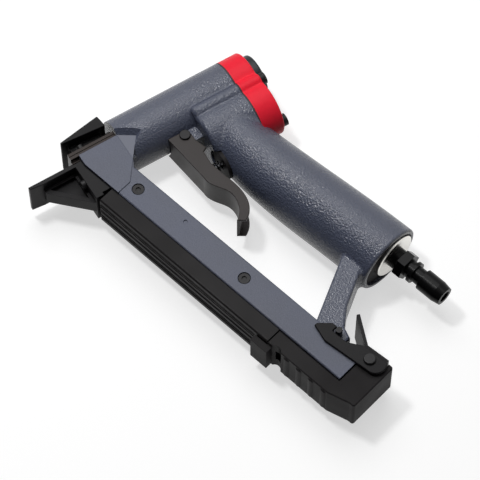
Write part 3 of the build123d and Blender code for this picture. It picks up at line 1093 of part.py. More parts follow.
# End cap on the drawer, with a finger grip that closes the channel from below
with BuildPart() as drawer_end_cap:
    with BuildSketch():
        with BuildLine():
            Polyline(
                (CAP_BLOCK_FRONT, CAP_BLOCK_LOW),
                (CAP_BLOCK_REAR, CAP_BLOCK_LOW),
                (CAP_BLOCK_REAR, CAP_LIP_TOP),
                (CAP_LIP_FRONT, CAP_LIP_TOP),
                (CAP_LIP_FRONT, CAP_BLOCK_TOP),
                (CAP_BLOCK_FRONT, CAP_BLOCK_TOP),
                close=True,
            )
        make_face()
    extrude(amount=CAP_BLOCK_HALF, both=True)
    fillet(drawer_end_cap.edges().filter_by(Axis.Z).group_by(Axis.X)[-1], CAP_BLOCK_CORNER)
    with BuildSketch():
        with BuildLine():
            Polyline(
                (GRIP_FRONT, GRIP_TOP),
                (GRIP_FRONT, CHANNEL_LOW),
                (CAP_BLOCK_FRONT, CHANNEL_LOW),
                (CAP_LIP_FRONT, CAP_BLOCK_LOW),
                (CAP_LIP_FRONT, GRIP_TOP),
                close=True,
            )
        make_face()
    extrude(amount=CAP_BLOCK_HALF, both=True)
    round_sides(drawer_end_cap, CAP_BLOCK_EDGE)
    with BuildSketch():
        with Locations((GRIP_TAB_FRONT, GRIP_TAB_LOW)):
            Rectangle(
                GRIP_TAB_REAR - GRIP_TAB_FRONT,
                CHANNEL_LOW - OPEN_GAP - GRIP_TAB_LOW,
                align=(Align.MIN, Align.MIN),
            )
        with Locations((GRIP_TAB_REAR, GRIP_TAB_LOW)):
            Rectangle(GRIP_TAB_REAR - GRIP_FRONT, CHANNEL_LOW - GRIP_TAB_LOW, align=(Align.MAX, Align.MIN))
    extrude(amount=GRIP_TAB_HALF, both=True)
    with BuildSketch():
        with Locations(
            *[
                (GRIP_RIB_FIRST + GRIP_RIB_STEP * rib, CHANNEL_LOW + GRIP_RIB_RADIUS - GRIP_RIB_RISE)
                for rib in range(GRIP_RIB_COUNT)
            ]
        ):
            Circle(GRIP_RIB_RADIUS)
    extrude(amount=GRIP_TAB_HALF, both=True)
    bore(Plane.XY.offset(-FAR / 2), [GRIP_SCOOP], GRIP_SCOOP_RADIUS, FAR)
    with BuildSketch(rear_plane(GRIP_FRONT)):
        with Locations((CHANNEL_LOW + GRIP_SHELL, 0)):
            Rectangle(FAR, 2 * GRIP_HOLLOW, align=(Align.MIN, Align.CENTER))
    extrude(amount=CAP_BLOCK_FRONT - GRIP_FRONT, mode=Mode.SUBTRACT)
    with BuildSketch(rear_plane(CAP_BLOCK_FRONT)):
        with Locations((DRAWER_FLOOR_LOW - PRESS_GAP, 0)):
            Rectangle(
                DRAWER_TOP - DRAWER_FLOOR_LOW + 2 * PRESS_GAP,
                2 * (DRAWER_HALF + PRESS_GAP),
                align=(Align.MIN, Align.CENTER),
            )
    extrude(amount=DRAWER_REAR - CAP_BLOCK_FRONT, mode=Mode.SUBTRACT)
    with BuildSketch():
        with Locations((LATCH_POCKET_REAR, LATCH_POCKET_LOW)):
            Rectangle(FAR, FAR, align=(Align.MAX, Align.MIN))
    extrude(amount=LATCH_POCKET_HALF, both=True, mode=Mode.SUBTRACT)
    bore(Plane.XY.offset(-FAR / 2), [LATCH_PIVOT], LATCH_PIN_RADIUS + PRESS_GAP, FAR)
    bore(rear_plane(GRIP_FRONT), [(ROD_HEIGHT, 0)], ROD_RADIUS + PRESS_GAP, DRAWER_REAR - GRIP_FRONT)
drawer_end_cap.part.label = "drawer_end_cap"
export_step(drawer_end_cap.part, "parts/drawer_end_cap.step")

with BuildPart() as spring_guide_rod:
    posts(rear_plane(LUG_FRONT), [(ROD_HEIGHT, 0)], ROD_RADIUS, DRAWER_REAR - LUG_FRONT)
spring_guide_rod.part.label = "spring_guide_rod"
export_step(spring_guide_rod.part, "parts/spring_guide_rod.step")

# Pusher: its nose keeps the drive axis's lean, and its tail runs on the guide rod
with BuildPart() as pusher:
    with BuildSketch():
        with BuildLine():
            Polyline(
                nose_point(PUSHER_NOSE, along_at(PUSHER_NOSE, DRAWER_FLOOR_TOP + SEAT_GAP)),
                (PUSHER_TAIL_REAR, DRAWER_FLOOR_TOP + SEAT_GAP),
                (PUSHER_TAIL_REAR, PUSHER_TOP),
                nose_point(PUSHER_NOSE, along_at(PUSHER_NOSE, PUSHER_TOP)),
                close=True,
            )
        make_face()
    extrude(amount=PUSHER_HALF, both=True)
    with BuildSketch(rear_plane(PUSHER_TAIL_FRONT)):
        with Locations((LUG_LOW, 0)):
            Rectangle(PUSHER_TOP - LUG_LOW, 2 * PUSHER_TAIL_HALF, align=(Align.MIN, Align.CENTER))
        with Locations((LUG_LOW, 0)):
            Rectangle(2 * (ROD_HEIGHT - LUG_LOW), 2 * LUG_HALF, align=(Align.MIN, Align.CENTER))
    extrude(amount=PUSHER_TAIL_LENGTH)
    bore(rear_plane(PUSHER_TAIL_FRONT), [(ROD_HEIGHT, 0)], ROD_RADIUS + RUNNING_PLAY, FAR)
pusher.part.label = "pusher"
export_step(pusher.part, "parts/pusher.step")

PUSHER_SPRING_RISE = CAP_BLOCK_FRONT - PUSHER_TAIL_REAR - 2 * PUSHER_WIRE - 2 * SEAT_GAP
PUSHER_SPRING_PLANE = rear_plane(PUSHER_TAIL_REAR + PUSHER_WIRE + SEAT_GAP, ROD_HEIGHT)
with BuildPart() as pusher_spring:
    curls("pusher_spring", PUSHER_SPRING_PLANE, PUSHER_COIL, PUSHER_TURNS, PUSHER_SPRING_RISE, PUSHER_WIRE)
pusher_spring.part.label = "pusher_spring"
export_step(pusher_spring.part, "parts/pusher_spring.step")

# Latch: two hooked side plates, a web over the end cap and a thumb tab
with BuildPart() as latch:
    with BuildSketch(Plane.XY.offset(LATCH_INNER)):
        with BuildLine():
            Polyline(
                LATCH_KEEL,
                LATCH_TIP,
                LATCH_HOOK,
                (LATCH_HOOK_FRONT, LATCH_HOOK_HEIGHT),
                (CATCH[0] - CATCH_RADIUS - OPEN_GAP, LATCH_HOOK_HEIGHT),
                (CATCH[0] - CATCH_RADIUS - OPEN_GAP, CATCH[1] - CATCH_RADIUS - OPEN_GAP),
                (LATCH_BACK, CATCH[1] - CATCH_RADIUS - OPEN_GAP),
                LATCH_SHOULDER,
                LATCH_HEEL,
            )
            ThreePointArc(LATCH_HEEL, LATCH_END, LATCH_BELLY)
            Line(LATCH_BELLY, LATCH_KEEL)
        make_face()
    extrude(amount=LATCH_SHEET)
    chamfer(latch.edges().group_by(Axis.Z)[-1], LATCH_EDGE)
    mirror(about=Plane.XY)
    with BuildSketch():
        with BuildLine():
            Polyline(
                LATCH_SHOULDER,
                LATCH_HEEL,
                (LATCH_HEEL[0], LATCH_HEEL[1] + LATCH_SHEET),
                (LATCH_SHOULDER[0] + LATCH_TAB_OFFSET[0], LATCH_SHOULDER[1] + LATCH_TAB_OFFSET[1]),
                (LATCH_TAB[0] + LATCH_TAB_OFFSET[0], LATCH_TAB[1] + LATCH_TAB_OFFSET[1]),
                LATCH_TAB,
                close=True,
            )
        make_face()
    extrude(amount=LATCH_OUTER - LATCH_EDGE, both=True)
    bore(Plane.XY.offset(-FAR / 2), [LATCH_PIVOT], LATCH_PIN_RADIUS + RUNNING_PLAY, FAR)
latch.part.label = "latch"
export_step(latch.part, "parts/latch.step")

with BuildPart() as latch_pin:
    posts(Plane.XY, [LATCH_PIVOT], LATCH_PIN_RADIUS, LATCH_OUTER + SEAT_GAP)
    posts(Plane.XY.offset(LATCH_OUTER + SEAT_GAP), [LATCH_PIVOT], LATCH_PIN_HEAD, LATCH_PIN_CROWN)
    fillet(latch_pin.edges().group_by(Axis.Z)[-1], LATCH_PIN_CROWN / 2)
    mirror(about=Plane.XY)
latch_pin.part.label = "latch_pin"
export_step(latch_pin.part, "parts/latch_pin.step")

# Stud through the strut's foot, which the latch hooks onto
with BuildPart() as catch_pin:
    posts(Plane.XY, [CATCH], CATCH_RADIUS, LATCH_OUTER + CATCH_CROWN)
    fillet(catch_pin.edges().group_by(Axis.Z)[-1], CATCH_CROWN / 2)
    mirror(about=Plane.XY)
catch_pin.part.label = "catch_pin"
export_step(catch_pin.part, "parts/catch_pin.step")

LATCH_SPRING_PLANE = Plane(origin=(*LATCH_PIVOT, -LATCH_COIL_HEIGHT / 2), z_dir=(0, 0, 1))
with BuildPart() as latch_spring:
    coil, lines = helix(
        LATCH_SPRING_PLANE, LATCH_COIL, LATCH_TURNS, LATCH_COIL_HEIGHT, LATCH_COIL_START, CURL_STEPS
    )
    with BuildLine() as latch_spring_path:
        Line(coil[0] - lines[0] * LATCH_LEG, coil[0])
        biarcs(coil, lines)
        Line(coil[-1], coil[-1] + lines[-1] * LATCH_LEG)
    with BuildSketch(Plane(origin=latch_spring_path.line @ 0, z_dir=latch_spring_path.line % 0)):
        Circle(LATCH_WIRE)
    sweep()
report_gap("latch_spring", LATCH_SPRING_PLANE, LATCH_COIL, LATCH_TURNS, LATCH_COIL_HEIGHT, LATCH_WIRE)
latch_spring.part.label = "latch_spring"
export_step(latch_spring.part, "parts/latch_spring.step")
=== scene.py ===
"""Pneumatic picture frame nailer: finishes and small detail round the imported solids, in a white studio."""

from math import cos, pi, radians, sin

import bmesh
import bpy
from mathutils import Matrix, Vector


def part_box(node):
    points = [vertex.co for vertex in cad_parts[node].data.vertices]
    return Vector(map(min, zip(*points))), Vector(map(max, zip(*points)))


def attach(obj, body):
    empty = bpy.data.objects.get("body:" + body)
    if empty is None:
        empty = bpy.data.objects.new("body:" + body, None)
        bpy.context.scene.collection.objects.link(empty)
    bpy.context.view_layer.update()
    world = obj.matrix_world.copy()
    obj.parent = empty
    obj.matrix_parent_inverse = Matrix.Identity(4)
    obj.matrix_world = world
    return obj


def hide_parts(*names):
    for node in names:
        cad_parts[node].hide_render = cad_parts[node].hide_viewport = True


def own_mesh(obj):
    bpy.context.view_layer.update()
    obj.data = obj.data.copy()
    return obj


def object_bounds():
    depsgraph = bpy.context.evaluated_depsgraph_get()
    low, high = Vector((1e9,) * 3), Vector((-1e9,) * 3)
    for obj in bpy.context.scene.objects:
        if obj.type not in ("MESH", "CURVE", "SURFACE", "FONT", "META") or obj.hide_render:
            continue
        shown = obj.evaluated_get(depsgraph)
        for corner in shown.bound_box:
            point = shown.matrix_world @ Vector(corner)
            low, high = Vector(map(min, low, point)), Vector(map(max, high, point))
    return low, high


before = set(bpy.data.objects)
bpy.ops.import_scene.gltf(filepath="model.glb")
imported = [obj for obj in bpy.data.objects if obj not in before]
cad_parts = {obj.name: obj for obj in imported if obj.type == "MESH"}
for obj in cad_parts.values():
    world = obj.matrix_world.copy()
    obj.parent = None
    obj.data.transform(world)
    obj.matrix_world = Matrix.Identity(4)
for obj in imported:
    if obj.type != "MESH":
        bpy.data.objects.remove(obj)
CAD_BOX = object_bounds()

bl_info = {
    "name": "Picture Frame Nailer",
    "version": (1, 0, 0),
    "blender": (4, 5, 0),
    "location": "View3D > Sidebar > Nailer",
    "description": "Finishes and small detail of a pneumatic picture frame nailer, in a white studio",
    "category": "Object",
}

MM = 0.001
WHITE = (1, 1, 1, 1)

# Places of a Mix node's sockets: its share, and the two values and the result, as numbers and as colours
SHARE = 0
NUMBER_A, NUMBER_B, NUMBER_OUT = 2, 3, 0
COLOUR_A, COLOUR_B, COLOUR_OUT = 6, 7, 2
# A wave texture repeats every tenth of pi at scale 1
WAVE_PERIOD = pi / 10
# Detail of a finish's fine grain and of its broad cloudiness, which is as wide as a thumb, in mm
GRAIN_DETAIL = 3.0
CLOUD_DETAIL = 2.0
CLOUD_WIDTH = 22
# Softness of dimples, their share in the grain's height, and waver of turning marks
DIMPLE_SOFTNESS = 0.35
DIMPLE_SHARE = 0.9
RING_WAVER = 0.4
# Range of grain and cloud together over which the tone varies, and of the cloud over which the gloss does
TONE_RANGE = (0.6, 1.5)
GLOSS_RANGE = (0.3, 0.7)
# Cosines between the rounded and the flat normal where an edge's paler tone starts and where it is full, and
# the share of that tone there: partly rubbed wear, partly a painted highlight along the edges
PALE_EDGE_RANGE = (0.98, 0.75)
PALE_EDGE_SHARE = 0.75
# Rays that find the rounding of an edge
EDGE_SAMPLES = 6
# Height over the middle plane and rear end, in mm, of the smooth flats where the casting meets the rail
CHEEK_FLAT = (12.5, 24.0)
# How far from that height, in metres, is still on the flat, and the grain's height and roughness there
FLAT_PLAY = 0.0001
FLAT_HEIGHT = 0.86
FLAT_ROUGHNESS = 0.47
# Paler tones of edges, as sRGB hex values: partly rubbed wear, partly a painted highlight along them
EDGE_WEAR_AND_HIGHLIGHT = {
    "coat": "4A474C",
    "nose": "6E645E",
    "channel": "3F3C40",
    "plastic": "3C3A3D",
    "deflector": "24323A",
    "trigger": "6F6763",
    "screw": "4E4C50",
    "fitting": "2C2C30",
}

# Body that carries each coil spring, and joint that presses on it
COILS = {
    "valve_spring": ("body", "valve_press"),
    "head_valve_spring": ("body", "head_valve_lift"),
    "pusher_spring": ("drawer", "pusher_slide"),
}
# Distance in metres within which points of a coil are one, and angle from which its edges are sharp
SEAM_PLAY = 0.000001
SHARP_ANGLE = radians(30)
# Front of the air plug's hexagon and radius of its shank, in metres, as in the solids
HEX_FRONT = 0.162
THREAD_RADIUS = 0.0055
# Sides of the thread's circle, and of a ridge's and a bead's section
THREAD_SIDES = 56
RIDGE_SIDES = 10
BEAD_SIDES = 16
BEAD_COUNT = 3
# Distance in metres from the ends of the beads to the pieces in front of them and behind them
BEAD_END_GAP = 0.0012

# Point that the camera looks at, in metres, and film width in mm
CAMERA_TARGET = (0.0922, 0.0310, 0.0)
SENSOR = 36.0
# Direction from the tool, distance and width of each lamp, the last two in metres
KEY_PLACE = ((-0.33, -0.08, 0.94), 1.0, 0.12)
TOP_PLACE = ((-0.34, 0.30, 0.89), 1.2, 1.0)
# Direction from the tool to the white backdrop, and how far each side of square to it the room turns dim
PAPER_SIDE = (-0.35, 0.9, 0.25)
ROOM_TURN = 0.3
# Half width of the floor in metres, its glow where it is seen, and its roughness
FLOOR_HALF = 3.0
FLOOR_LIFT = 0.60
PAPER_ROUGHNESS = 0.9


def linear(code):
    """Scene linear colour of an sRGB hex value."""
    shares = [int(code[i : i + 2], 16) / 255 for i in (0, 2, 4)]
    return tuple(s / 12.92 if s <= 0.04045 else ((s + 0.055) / 1.055) ** 2.4 for s in shares)


def opaque(colour):
    """That colour with full cover."""
    return (*colour, 1)


def per_mm(size):
    """Scale of a texture on Object coordinates whose feature is that many millimetres wide."""
    return 1 / (size * MM)


def add(tree, kind, inputs=None, **settings):
    """Adds one node, with its settings, its input values and the sockets that feed it."""
    made = tree.nodes.new(kind)
    for key, value in settings.items():
        setattr(made, key, value)
    for key, value in (inputs or {}).items():
        if isinstance(value, bpy.types.NodeSocket):
            tree.links.new(value, made.inputs[key])
        else:
            made.inputs[key].default_value = value
    return made


def tint(name, description, code):
    """A colour that a user may change, from its sRGB hex value."""
    return bpy.props.FloatVectorProperty(
        name=name, description=description, default=linear(code), subtype="COLOR", min=0.0, max=1.0
    )


def length(name, description, millimetres):
    """A length that a user may change, given in millimetres."""
    return bpy.props.FloatProperty(
        name=name, description=description, default=millimetres * MM, min=0.0, unit="LENGTH", precision=5
    )


def angle(name, description, degrees):
    """An angle that a user may change, given in degrees."""
    return bpy.props.FloatProperty(
        name=name, description=description, default=radians(degrees), subtype="ANGLE"
    )


def power(name, description, watts):
    """A lamp's power that a user may change."""
    return bpy.props.FloatProperty(
        name=name, description=description, default=watts, unit="POWER", min=0.0
    )


def factor(name, description, share):
    """A share that a user may change."""
    return bpy.props.FloatProperty(
        name=name, description=description, default=share, subtype="FACTOR", min=0.0
    )


class NailerFinishes(bpy.types.PropertyGroup):
    """Colours of the painted, moulded and bare surfaces"""

    casting: tint("Casting", "Hammertone enamel of the body casting", "464B5C")
    rail: tint("Magazine rail", "Powder coat of the magazine rail", "575B6A")
    cap: tint("Cap", "Red enamel of the cylinder cap", "FC2A3E")
    coat: tint("Black coat", "Black coat of the fence, shoe and latch", "0F0E10")
    channel: tint("Channel", "Black anodising of the magazine channel", "141213")
    nose: tint("Nose plate", "Browned steel of the nose plate", "221C1A")
    plastic: tint("Plastic", "Moulded nylon of the end cap", "181617")
    deflector: tint("Deflector", "Moulded nylon of the exhaust deflector", "0A151B")
    trigger: tint("Trigger", "Satin coat of the trigger", "2E2928")
    fitting: tint("Air plug", "Black plating of the air plug", "040405")
    screw: tint("Screws", "Black oxide of screws and pins", "0E0D0F")
    bare: tint("Bare metal", "Turned aluminium of the end plug", "E6E4DF")
    wire: tint("Spring wire", "Tempered wire of the springs", "2E2E32")
    steel: tint("Ground steel", "Ground steel of the sleeve, blade, drawer and rod", "7C7E82")
    piston: tint("Piston", "Oiled aluminium of the piston", "BFC0C2")
    stem: tint("Valve stem", "Stainless steel of the valve stem", "77787B")
    rubber: tint("Rubber", "Nitrile rubber of rings, gasket and bumper", "1D1C1E")


class NailerDetails(bpy.types.PropertyGroup):
    """Sizes of the small detail and of the patterns in the finishes"""

    hammer_cell: length("Hammer cell", "Width of one dimple of the hammertone enamel", 1.1)
    turning_step: length("Turning step", "Step of the turning marks on the end plug", 0.5)
    thread_pitch: length("Thread pitch", "Step of the thread on the air plug", 1.0)
    thread_ridge: length("Thread ridge", "Radius of one ridge of that thread", 0.42)
    bead_radius: length("Bead radius", "Radius of the drawn beads along the magazine channel", 0.5)
    bead_step: length("Bead step", "Distance between those beads", 6.5)


class NailerStage(bpy.types.PropertyGroup):
    """Camera and light"""

    azimuth: angle("Azimuth", "Camera's turn round the tool", 43.3)
    elevation: angle("Elevation", "Camera's height over the floor", 62)
    distance: length("Distance", "From the camera to the tool", 1389)
    lens: bpy.props.FloatProperty(
        name="Lens", description="Focal length in millimetres", default=200, unit="CAMERA", min=1.0
    )
    floor: tint("Floor", "Pale floor", "C4C4C4")
    bounce: tint("Bounce", "Tone of the floor's light on the tool's sides", "6E6E6E")
    key: power("Key lamp", "Small lamp high on the left", 3.7)
    top: power("Top lamp", "Wide lamp overhead", 7.0)
    fill: factor("Fill", "Even light of the white room", 0.10)
    dim: factor("Dim side", "Share of that light from behind the camera", 0.15)


def grain_height(tree, place, grain, cells, stretch, rings):
    """Height of a finish's grain, with its dimples or turning marks."""
    lay = place
    if stretch:
        lay = add(tree, "ShaderNodeMapping", {"Vector": place, "Scale": stretch}).outputs[0]
    fine = {"Vector": lay, "Scale": per_mm(grain), "Detail": GRAIN_DETAIL}
    height = add(tree, "ShaderNodeTexNoise", fine).outputs[0]
    if cells:
        pattern = {"Vector": place, "Scale": per_mm(cells), "Smoothness": DIMPLE_SOFTNESS}
        dimple = add(tree, "ShaderNodeTexVoronoi", pattern, feature="SMOOTH_F1").outputs["Distance"]
        parts = {0: dimple, 1: DIMPLE_SHARE, 2: height}
        height = add(tree, "ShaderNodeMath", parts, operation="MULTIPLY_ADD").outputs[0]
    if rings:
        centre, axis, step = rings
        about = add(tree, "ShaderNodeMapping", {"Vector": place, "Location": -centre}).outputs[0]
        pattern = {"Vector": about, "Scale": WAVE_PERIOD * per_mm(step), "Distortion": RING_WAVER}
        marks = add(tree, "ShaderNodeTexWave", pattern, wave_type="RINGS", rings_direction=axis)
        height = add(tree, "ShaderNodeMath", {0: marks.outputs["Fac"], 1: height}).outputs[0]
    return height


def flat_share(tree, place, level, rear):
    """1 on the flats at a height over the middle plane, up to their rear end in mm, and 0 elsewhere."""
    axes = add(tree, "ShaderNodeSeparateXYZ", {0: place}).outputs
    rise = add(tree, "ShaderNodeMath", {0: axes["Z"]}, operation="ABSOLUTE").outputs[0]
    near = {0: rise, 1: level * MM, 2: FLAT_PLAY}
    there = add(tree, "ShaderNodeMath", near, operation="COMPARE").outputs[0]
    front = add(tree, "ShaderNodeMath", {0: axes["X"], 1: rear * MM}, operation="LESS_THAN").outputs[0]
    return add(tree, "ShaderNodeMath", {0: there, 1: front}, operation="MULTIPLY").outputs[0]


def finish(
    name, colour, grain, relief, roughness, contrast=0.12, edge=0.25, worn_and_highlit=None, cells=None, stretch=None,
    rings=None, flat=None, **shader,
):
    """One finish, whose tone, gloss and relief follow the same grain, with slightly rounded edges.

    grain and relief are the grain's width and height, edge the rounding of sharp edges, all in mm. contrast
    is the share by which the tone varies, and roughness its range. worn_and_highlit is the hex value of the
    paler tone along edges, partly rubbed wear and partly a painted highlight, cells the width of dimples in
    mm, stretch the shares by which a drawn or brushed grain is drawn out along each axis, rings the centre,
    axis and step in mm of turning marks, and flat the height and rear end in mm of faces left smooth, with
    their tone.
    """
    material = bpy.data.materials.new(name)
    material.use_nodes = True
    tree = material.node_tree
    surface = tree.nodes["Principled BSDF"]
    for key, value in shader.items():
        surface.inputs[key.replace("_", " ").title().replace("Ior", "IOR")].default_value = value
    place = add(tree, "ShaderNodeTexCoord").outputs["Object"]
    height = grain_height(tree, place, grain, cells, stretch, rings)
    if flat:
        level, rear, paint = flat
        smooth = flat_share(tree, place, level, rear)
        heights = {SHARE: smooth, NUMBER_A: height, NUMBER_B: FLAT_HEIGHT}
        height = add(tree, "ShaderNodeMix", heights).outputs[NUMBER_OUT]
    # Broad cloudiness, so that no face is one even tone
    broad = {"Vector": place, "Scale": per_mm(CLOUD_WIDTH), "Detail": CLOUD_DETAIL}
    cloud = add(tree, "ShaderNodeTexNoise", broad).outputs[0]
    both = add(tree, "ShaderNodeMath", {0: cloud, 1: height}).outputs[0]
    span = {"Value": both, "From Min": TONE_RANGE[0], "From Max": TONE_RANGE[1]}
    share = add(tree, "ShaderNodeMapRange", span).outputs[0]
    low, high = (opaque(Vector(colour) * (1 + sign * contrast)) for sign in (-1, 1))
    tones = {SHARE: share, COLOUR_A: low, COLOUR_B: high}
    tone = add(tree, "ShaderNodeMix", tones, data_type="RGBA").outputs[COLOUR_OUT]
    if flat:
        tones = {SHARE: smooth, COLOUR_A: tone, COLOUR_B: opaque(paint)}
        tone = add(tree, "ShaderNodeMix", tones, data_type="RGBA").outputs[COLOUR_OUT]
    soft = add(tree, "ShaderNodeBevel", {"Radius": edge * MM}, samples=EDGE_SAMPLES).outputs[0]
    # Paler tone along edges, partly rubbed wear and partly a painted highlight, where the rounded normal
    # leaves the face's own
    if worn_and_highlit:
        face = add(tree, "ShaderNodeNewGeometry").outputs["Normal"]
        match = add(tree, "ShaderNodeVectorMath", {0: soft, 1: face}, operation="DOT_PRODUCT")
        span = {"From Min": PALE_EDGE_RANGE[0], "From Max": PALE_EDGE_RANGE[1], "To Max": PALE_EDGE_SHARE}
        pale_edge = add(tree, "ShaderNodeMapRange", {"Value": match.outputs["Value"], **span}).outputs[0]
        tones = {SHARE: pale_edge, COLOUR_A: tone, COLOUR_B: opaque(linear(worn_and_highlit))}
        tone = add(tree, "ShaderNodeMix", tones, data_type="RGBA").outputs[COLOUR_OUT]
    tree.links.new(tone, surface.inputs["Base Color"])
    span = {"From Min": GLOSS_RANGE[0], "From Max": GLOSS_RANGE[1]}
    ends = {"To Min": roughness[0], "To Max": roughness[1]}
    gloss = add(tree, "ShaderNodeMapRange", {"Value": cloud, **span, **ends}).outputs[0]
    if flat:
        glosses = {SHARE: smooth, NUMBER_A: gloss, NUMBER_B: FLAT_ROUGHNESS}
        gloss = add(tree, "ShaderNodeMix", glosses).outputs[NUMBER_OUT]
    tree.links.new(gloss, surface.inputs["Roughness"])
    bump = add(tree, "ShaderNodeBump", {"Height": height, "Distance": relief * MM, "Normal": soft})
    tree.links.new(bump.outputs[0], surface.inputs["Normal"])
    return material


class Dress:
    """Gives a group of like CAD nodes one finish; the operators below say which."""

    bl_options = {"REGISTER"}
    nodes = ()

    def execute(self, context):
        material = self.material(context.scene.nailer_finishes, context.scene.nailer_details)
        for name in self.nodes:
            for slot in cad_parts[name].material_slots:
                slot.material = material
        return {"FINISHED"}


class NAILER_OT_casting(Dress, bpy.types.Operator):
    """Hammertone enamel on the die-cast head, handle and strut"""

    bl_idname = "nailer.casting"
    bl_label = "Body casting"
    nodes = ("body_casting",)

    def material(self, tones, sizes):
        # Hammertone enamel on cast aluminium, sprayed and stoved: aluminium flake pools into glossy dimples,
        # so lit edges break into bright specks
        return finish(
            "hammertone_enamel", tones.casting, grain=0.6, relief=0.27, roughness=(0.18, 0.24),
            contrast=0.14, edge=0.4, cells=sizes.hammer_cell / MM, flat=(*CHEEK_FLAT, tones.rail),
            specular_ior_level=0.5,
        )


class NAILER_OT_rail(Dress, bpy.types.Operator):
    """Fine powder coat on the magazine rail and its cheeks"""

    bl_idname = "nailer.rail"
    bl_label = "Magazine rail"
    nodes = ("magazine_housing",)

    def material(self, tones, sizes):
        # Powder coat on a die-cast rail: smoother and paler than the casting, with a fine dark speckle
        return finish(
            "powder_coat", tones.rail, grain=0.7, relief=0.14, roughness=(0.38, 0.48), contrast=0.22,
            edge=0.4, specular_ior_level=0.3,
        )


class NAILER_OT_cap(Dress, bpy.types.Operator):
    """Red enamel on the cylinder cap"""

    bl_idname = "nailer.cap"
    bl_label = "Cap"
    nodes = ("cap",)

    def material(self, tones, sizes):
        # Stoved enamel on a cast cap: bright and smooth, with the faint orange peel of a thick coat
        return finish(
            "red_enamel", tones.cap, grain=2.5, relief=0.04, roughness=(0.36, 0.44), contrast=0.05,
            edge=0.4, specular_ior_level=0.12,
        )


class NAILER_OT_black_coat(Dress, bpy.types.Operator):
    """Black coat on the fence, the guide shoe and the latch"""

    bl_idname = "nailer.black_coat"
    bl_label = "Fence, shoe and latch"
    nodes = ("corner_fence", "guide_shoe", "latch")

    def material(self, tones, sizes):
        # Electro-painted steel: satin black, its edges paler: partly rubbed wear, partly a painted highlight
        return finish(
            "black_electro_coat", tones.coat, grain=0.5, relief=0.03, roughness=(0.36, 0.48), edge=0.35,
            worn_and_highlit=EDGE_WEAR_AND_HIGHLIGHT["coat"], specular_ior_level=0.12,
        )


class NAILER_OT_nose(Dress, bpy.types.Operator):
    """Browned steel of the layered nose plate"""

    bl_idname = "nailer.nose"
    bl_label = "Nose plate"
    nodes = ("nose_plate",)

    def material(self, tones, sizes):
        # Ground tool steel, oil browned: dark brown with fine grinding lines; its edges paler, partly rubbed
        # wear and partly a painted highlight
        return finish(
            "browned_steel", tones.nose, grain=0.4, relief=0.03, roughness=(0.34, 0.46), stretch=(0.1, 1, 1),
            worn_and_highlit=EDGE_WEAR_AND_HIGHLIGHT["nose"], metallic=0.5, specular_ior_level=0.3,
        )


class NAILER_OT_channel(Dress, bpy.types.Operator):
    """Black anodised magazine channel"""

    bl_idname = "nailer.channel"
    bl_label = "Magazine channel"
    nodes = ("magazine_channel",)

    def material(self, tones, sizes):
        # Extruded aluminium, black anodised: matt, with fine die lines along its length; its edges paler,
        # partly rubbed wear and partly a painted highlight
        return finish(
            "black_anodised_extrusion", tones.channel, grain=0.5, relief=0.03, roughness=(0.42, 0.52),
            stretch=(0.02, 1, 1), worn_and_highlit=EDGE_WEAR_AND_HIGHLIGHT["channel"], specular_ior_level=0.12,
        )


class NAILER_OT_plastic(Dress, bpy.types.Operator):
    """Moulded nylon of the drawer's end cap and the hidden plastic pieces"""

    bl_idname = "nailer.plastic"
    bl_label = "End cap and plastic pieces"
    nodes = ("drawer_end_cap", "valve_bush", "end_plug_ring", "pusher", "head_valve")

    def material(self, tones, sizes):
        # Glass-filled nylon from a spark-eroded mould: charcoal, matt, with a fine even grain; its edges
        # paler, partly rubbed wear and partly a painted highlight
        return finish(
            "moulded_nylon", tones.plastic, grain=0.45, relief=0.05, roughness=(0.50, 0.62), edge=0.35,
            worn_and_highlit=EDGE_WEAR_AND_HIGHLIGHT["plastic"], specular_ior_level=0.12,
        )


class NAILER_OT_deflector(Dress, bpy.types.Operator):
    """Moulded exhaust deflector on the cap"""

    bl_idname = "nailer.deflector"
    bl_label = "Exhaust deflector"
    nodes = ("exhaust_deflector",)

    def material(self, tones, sizes):
        # Nylon from a polished mould: blue-black and smoother than the end cap; its edges paler, partly
        # rubbed wear and partly a painted highlight
        return finish(
            "deflector_nylon", tones.deflector, grain=0.6, relief=0.02, roughness=(0.34, 0.44), edge=0.3,
            worn_and_highlit=EDGE_WEAR_AND_HIGHLIGHT["deflector"], specular_ior_level=0.3,
        )


class NAILER_OT_trigger(Dress, bpy.types.Operator):
    """Satin coat on the lever trigger"""

    bl_idname = "nailer.trigger"
    bl_label = "Trigger"
    nodes = ("trigger",)

    def material(self, tones, sizes):
        # Phosphated and oiled steel: brown-grey and satin, its edges paler: partly rubbed wear, partly a
        # painted highlight
        return finish(
            "phosphated_steel", tones.trigger, grain=0.5, relief=0.03, roughness=(0.36, 0.46), edge=0.35,
            worn_and_highlit=EDGE_WEAR_AND_HIGHLIGHT["trigger"], specular_ior_level=0.2,
        )


class NAILER_OT_end_plug(Dress, bpy.types.Operator):
    """Turned end plug of the handle"""

    bl_idname = "nailer.end_plug"
    bl_label = "End plug"
    nodes = ("end_plug",)

    def material(self, tones, sizes):
        low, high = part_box("end_plug")
        # Aluminium faced in a lathe: bright, with fine rings, drawn coarser than the real feed, which is too
        # fine to show
        return finish(
            "turned_aluminium", tones.bare, grain=0.4, relief=0.02, roughness=(0.26, 0.36), contrast=0.06,
            rings=((low + high) / 2, "X", sizes.turning_step / MM), metallic=1.0,
        )


def plated(tones):
    """Black zinc plating on turned steel: glossy, near black, grey along turned corners as partly rubbed
    wear, partly painted highlight.
    """
    made = bpy.data.materials.get("black_zinc")
    return made or finish(
        "black_zinc", tones.fitting, grain=0.5, relief=0.01, roughness=(0.18, 0.28),
        worn_and_highlit=EDGE_WEAR_AND_HIGHLIGHT["fitting"], specular_ior_level=0.12,
    )


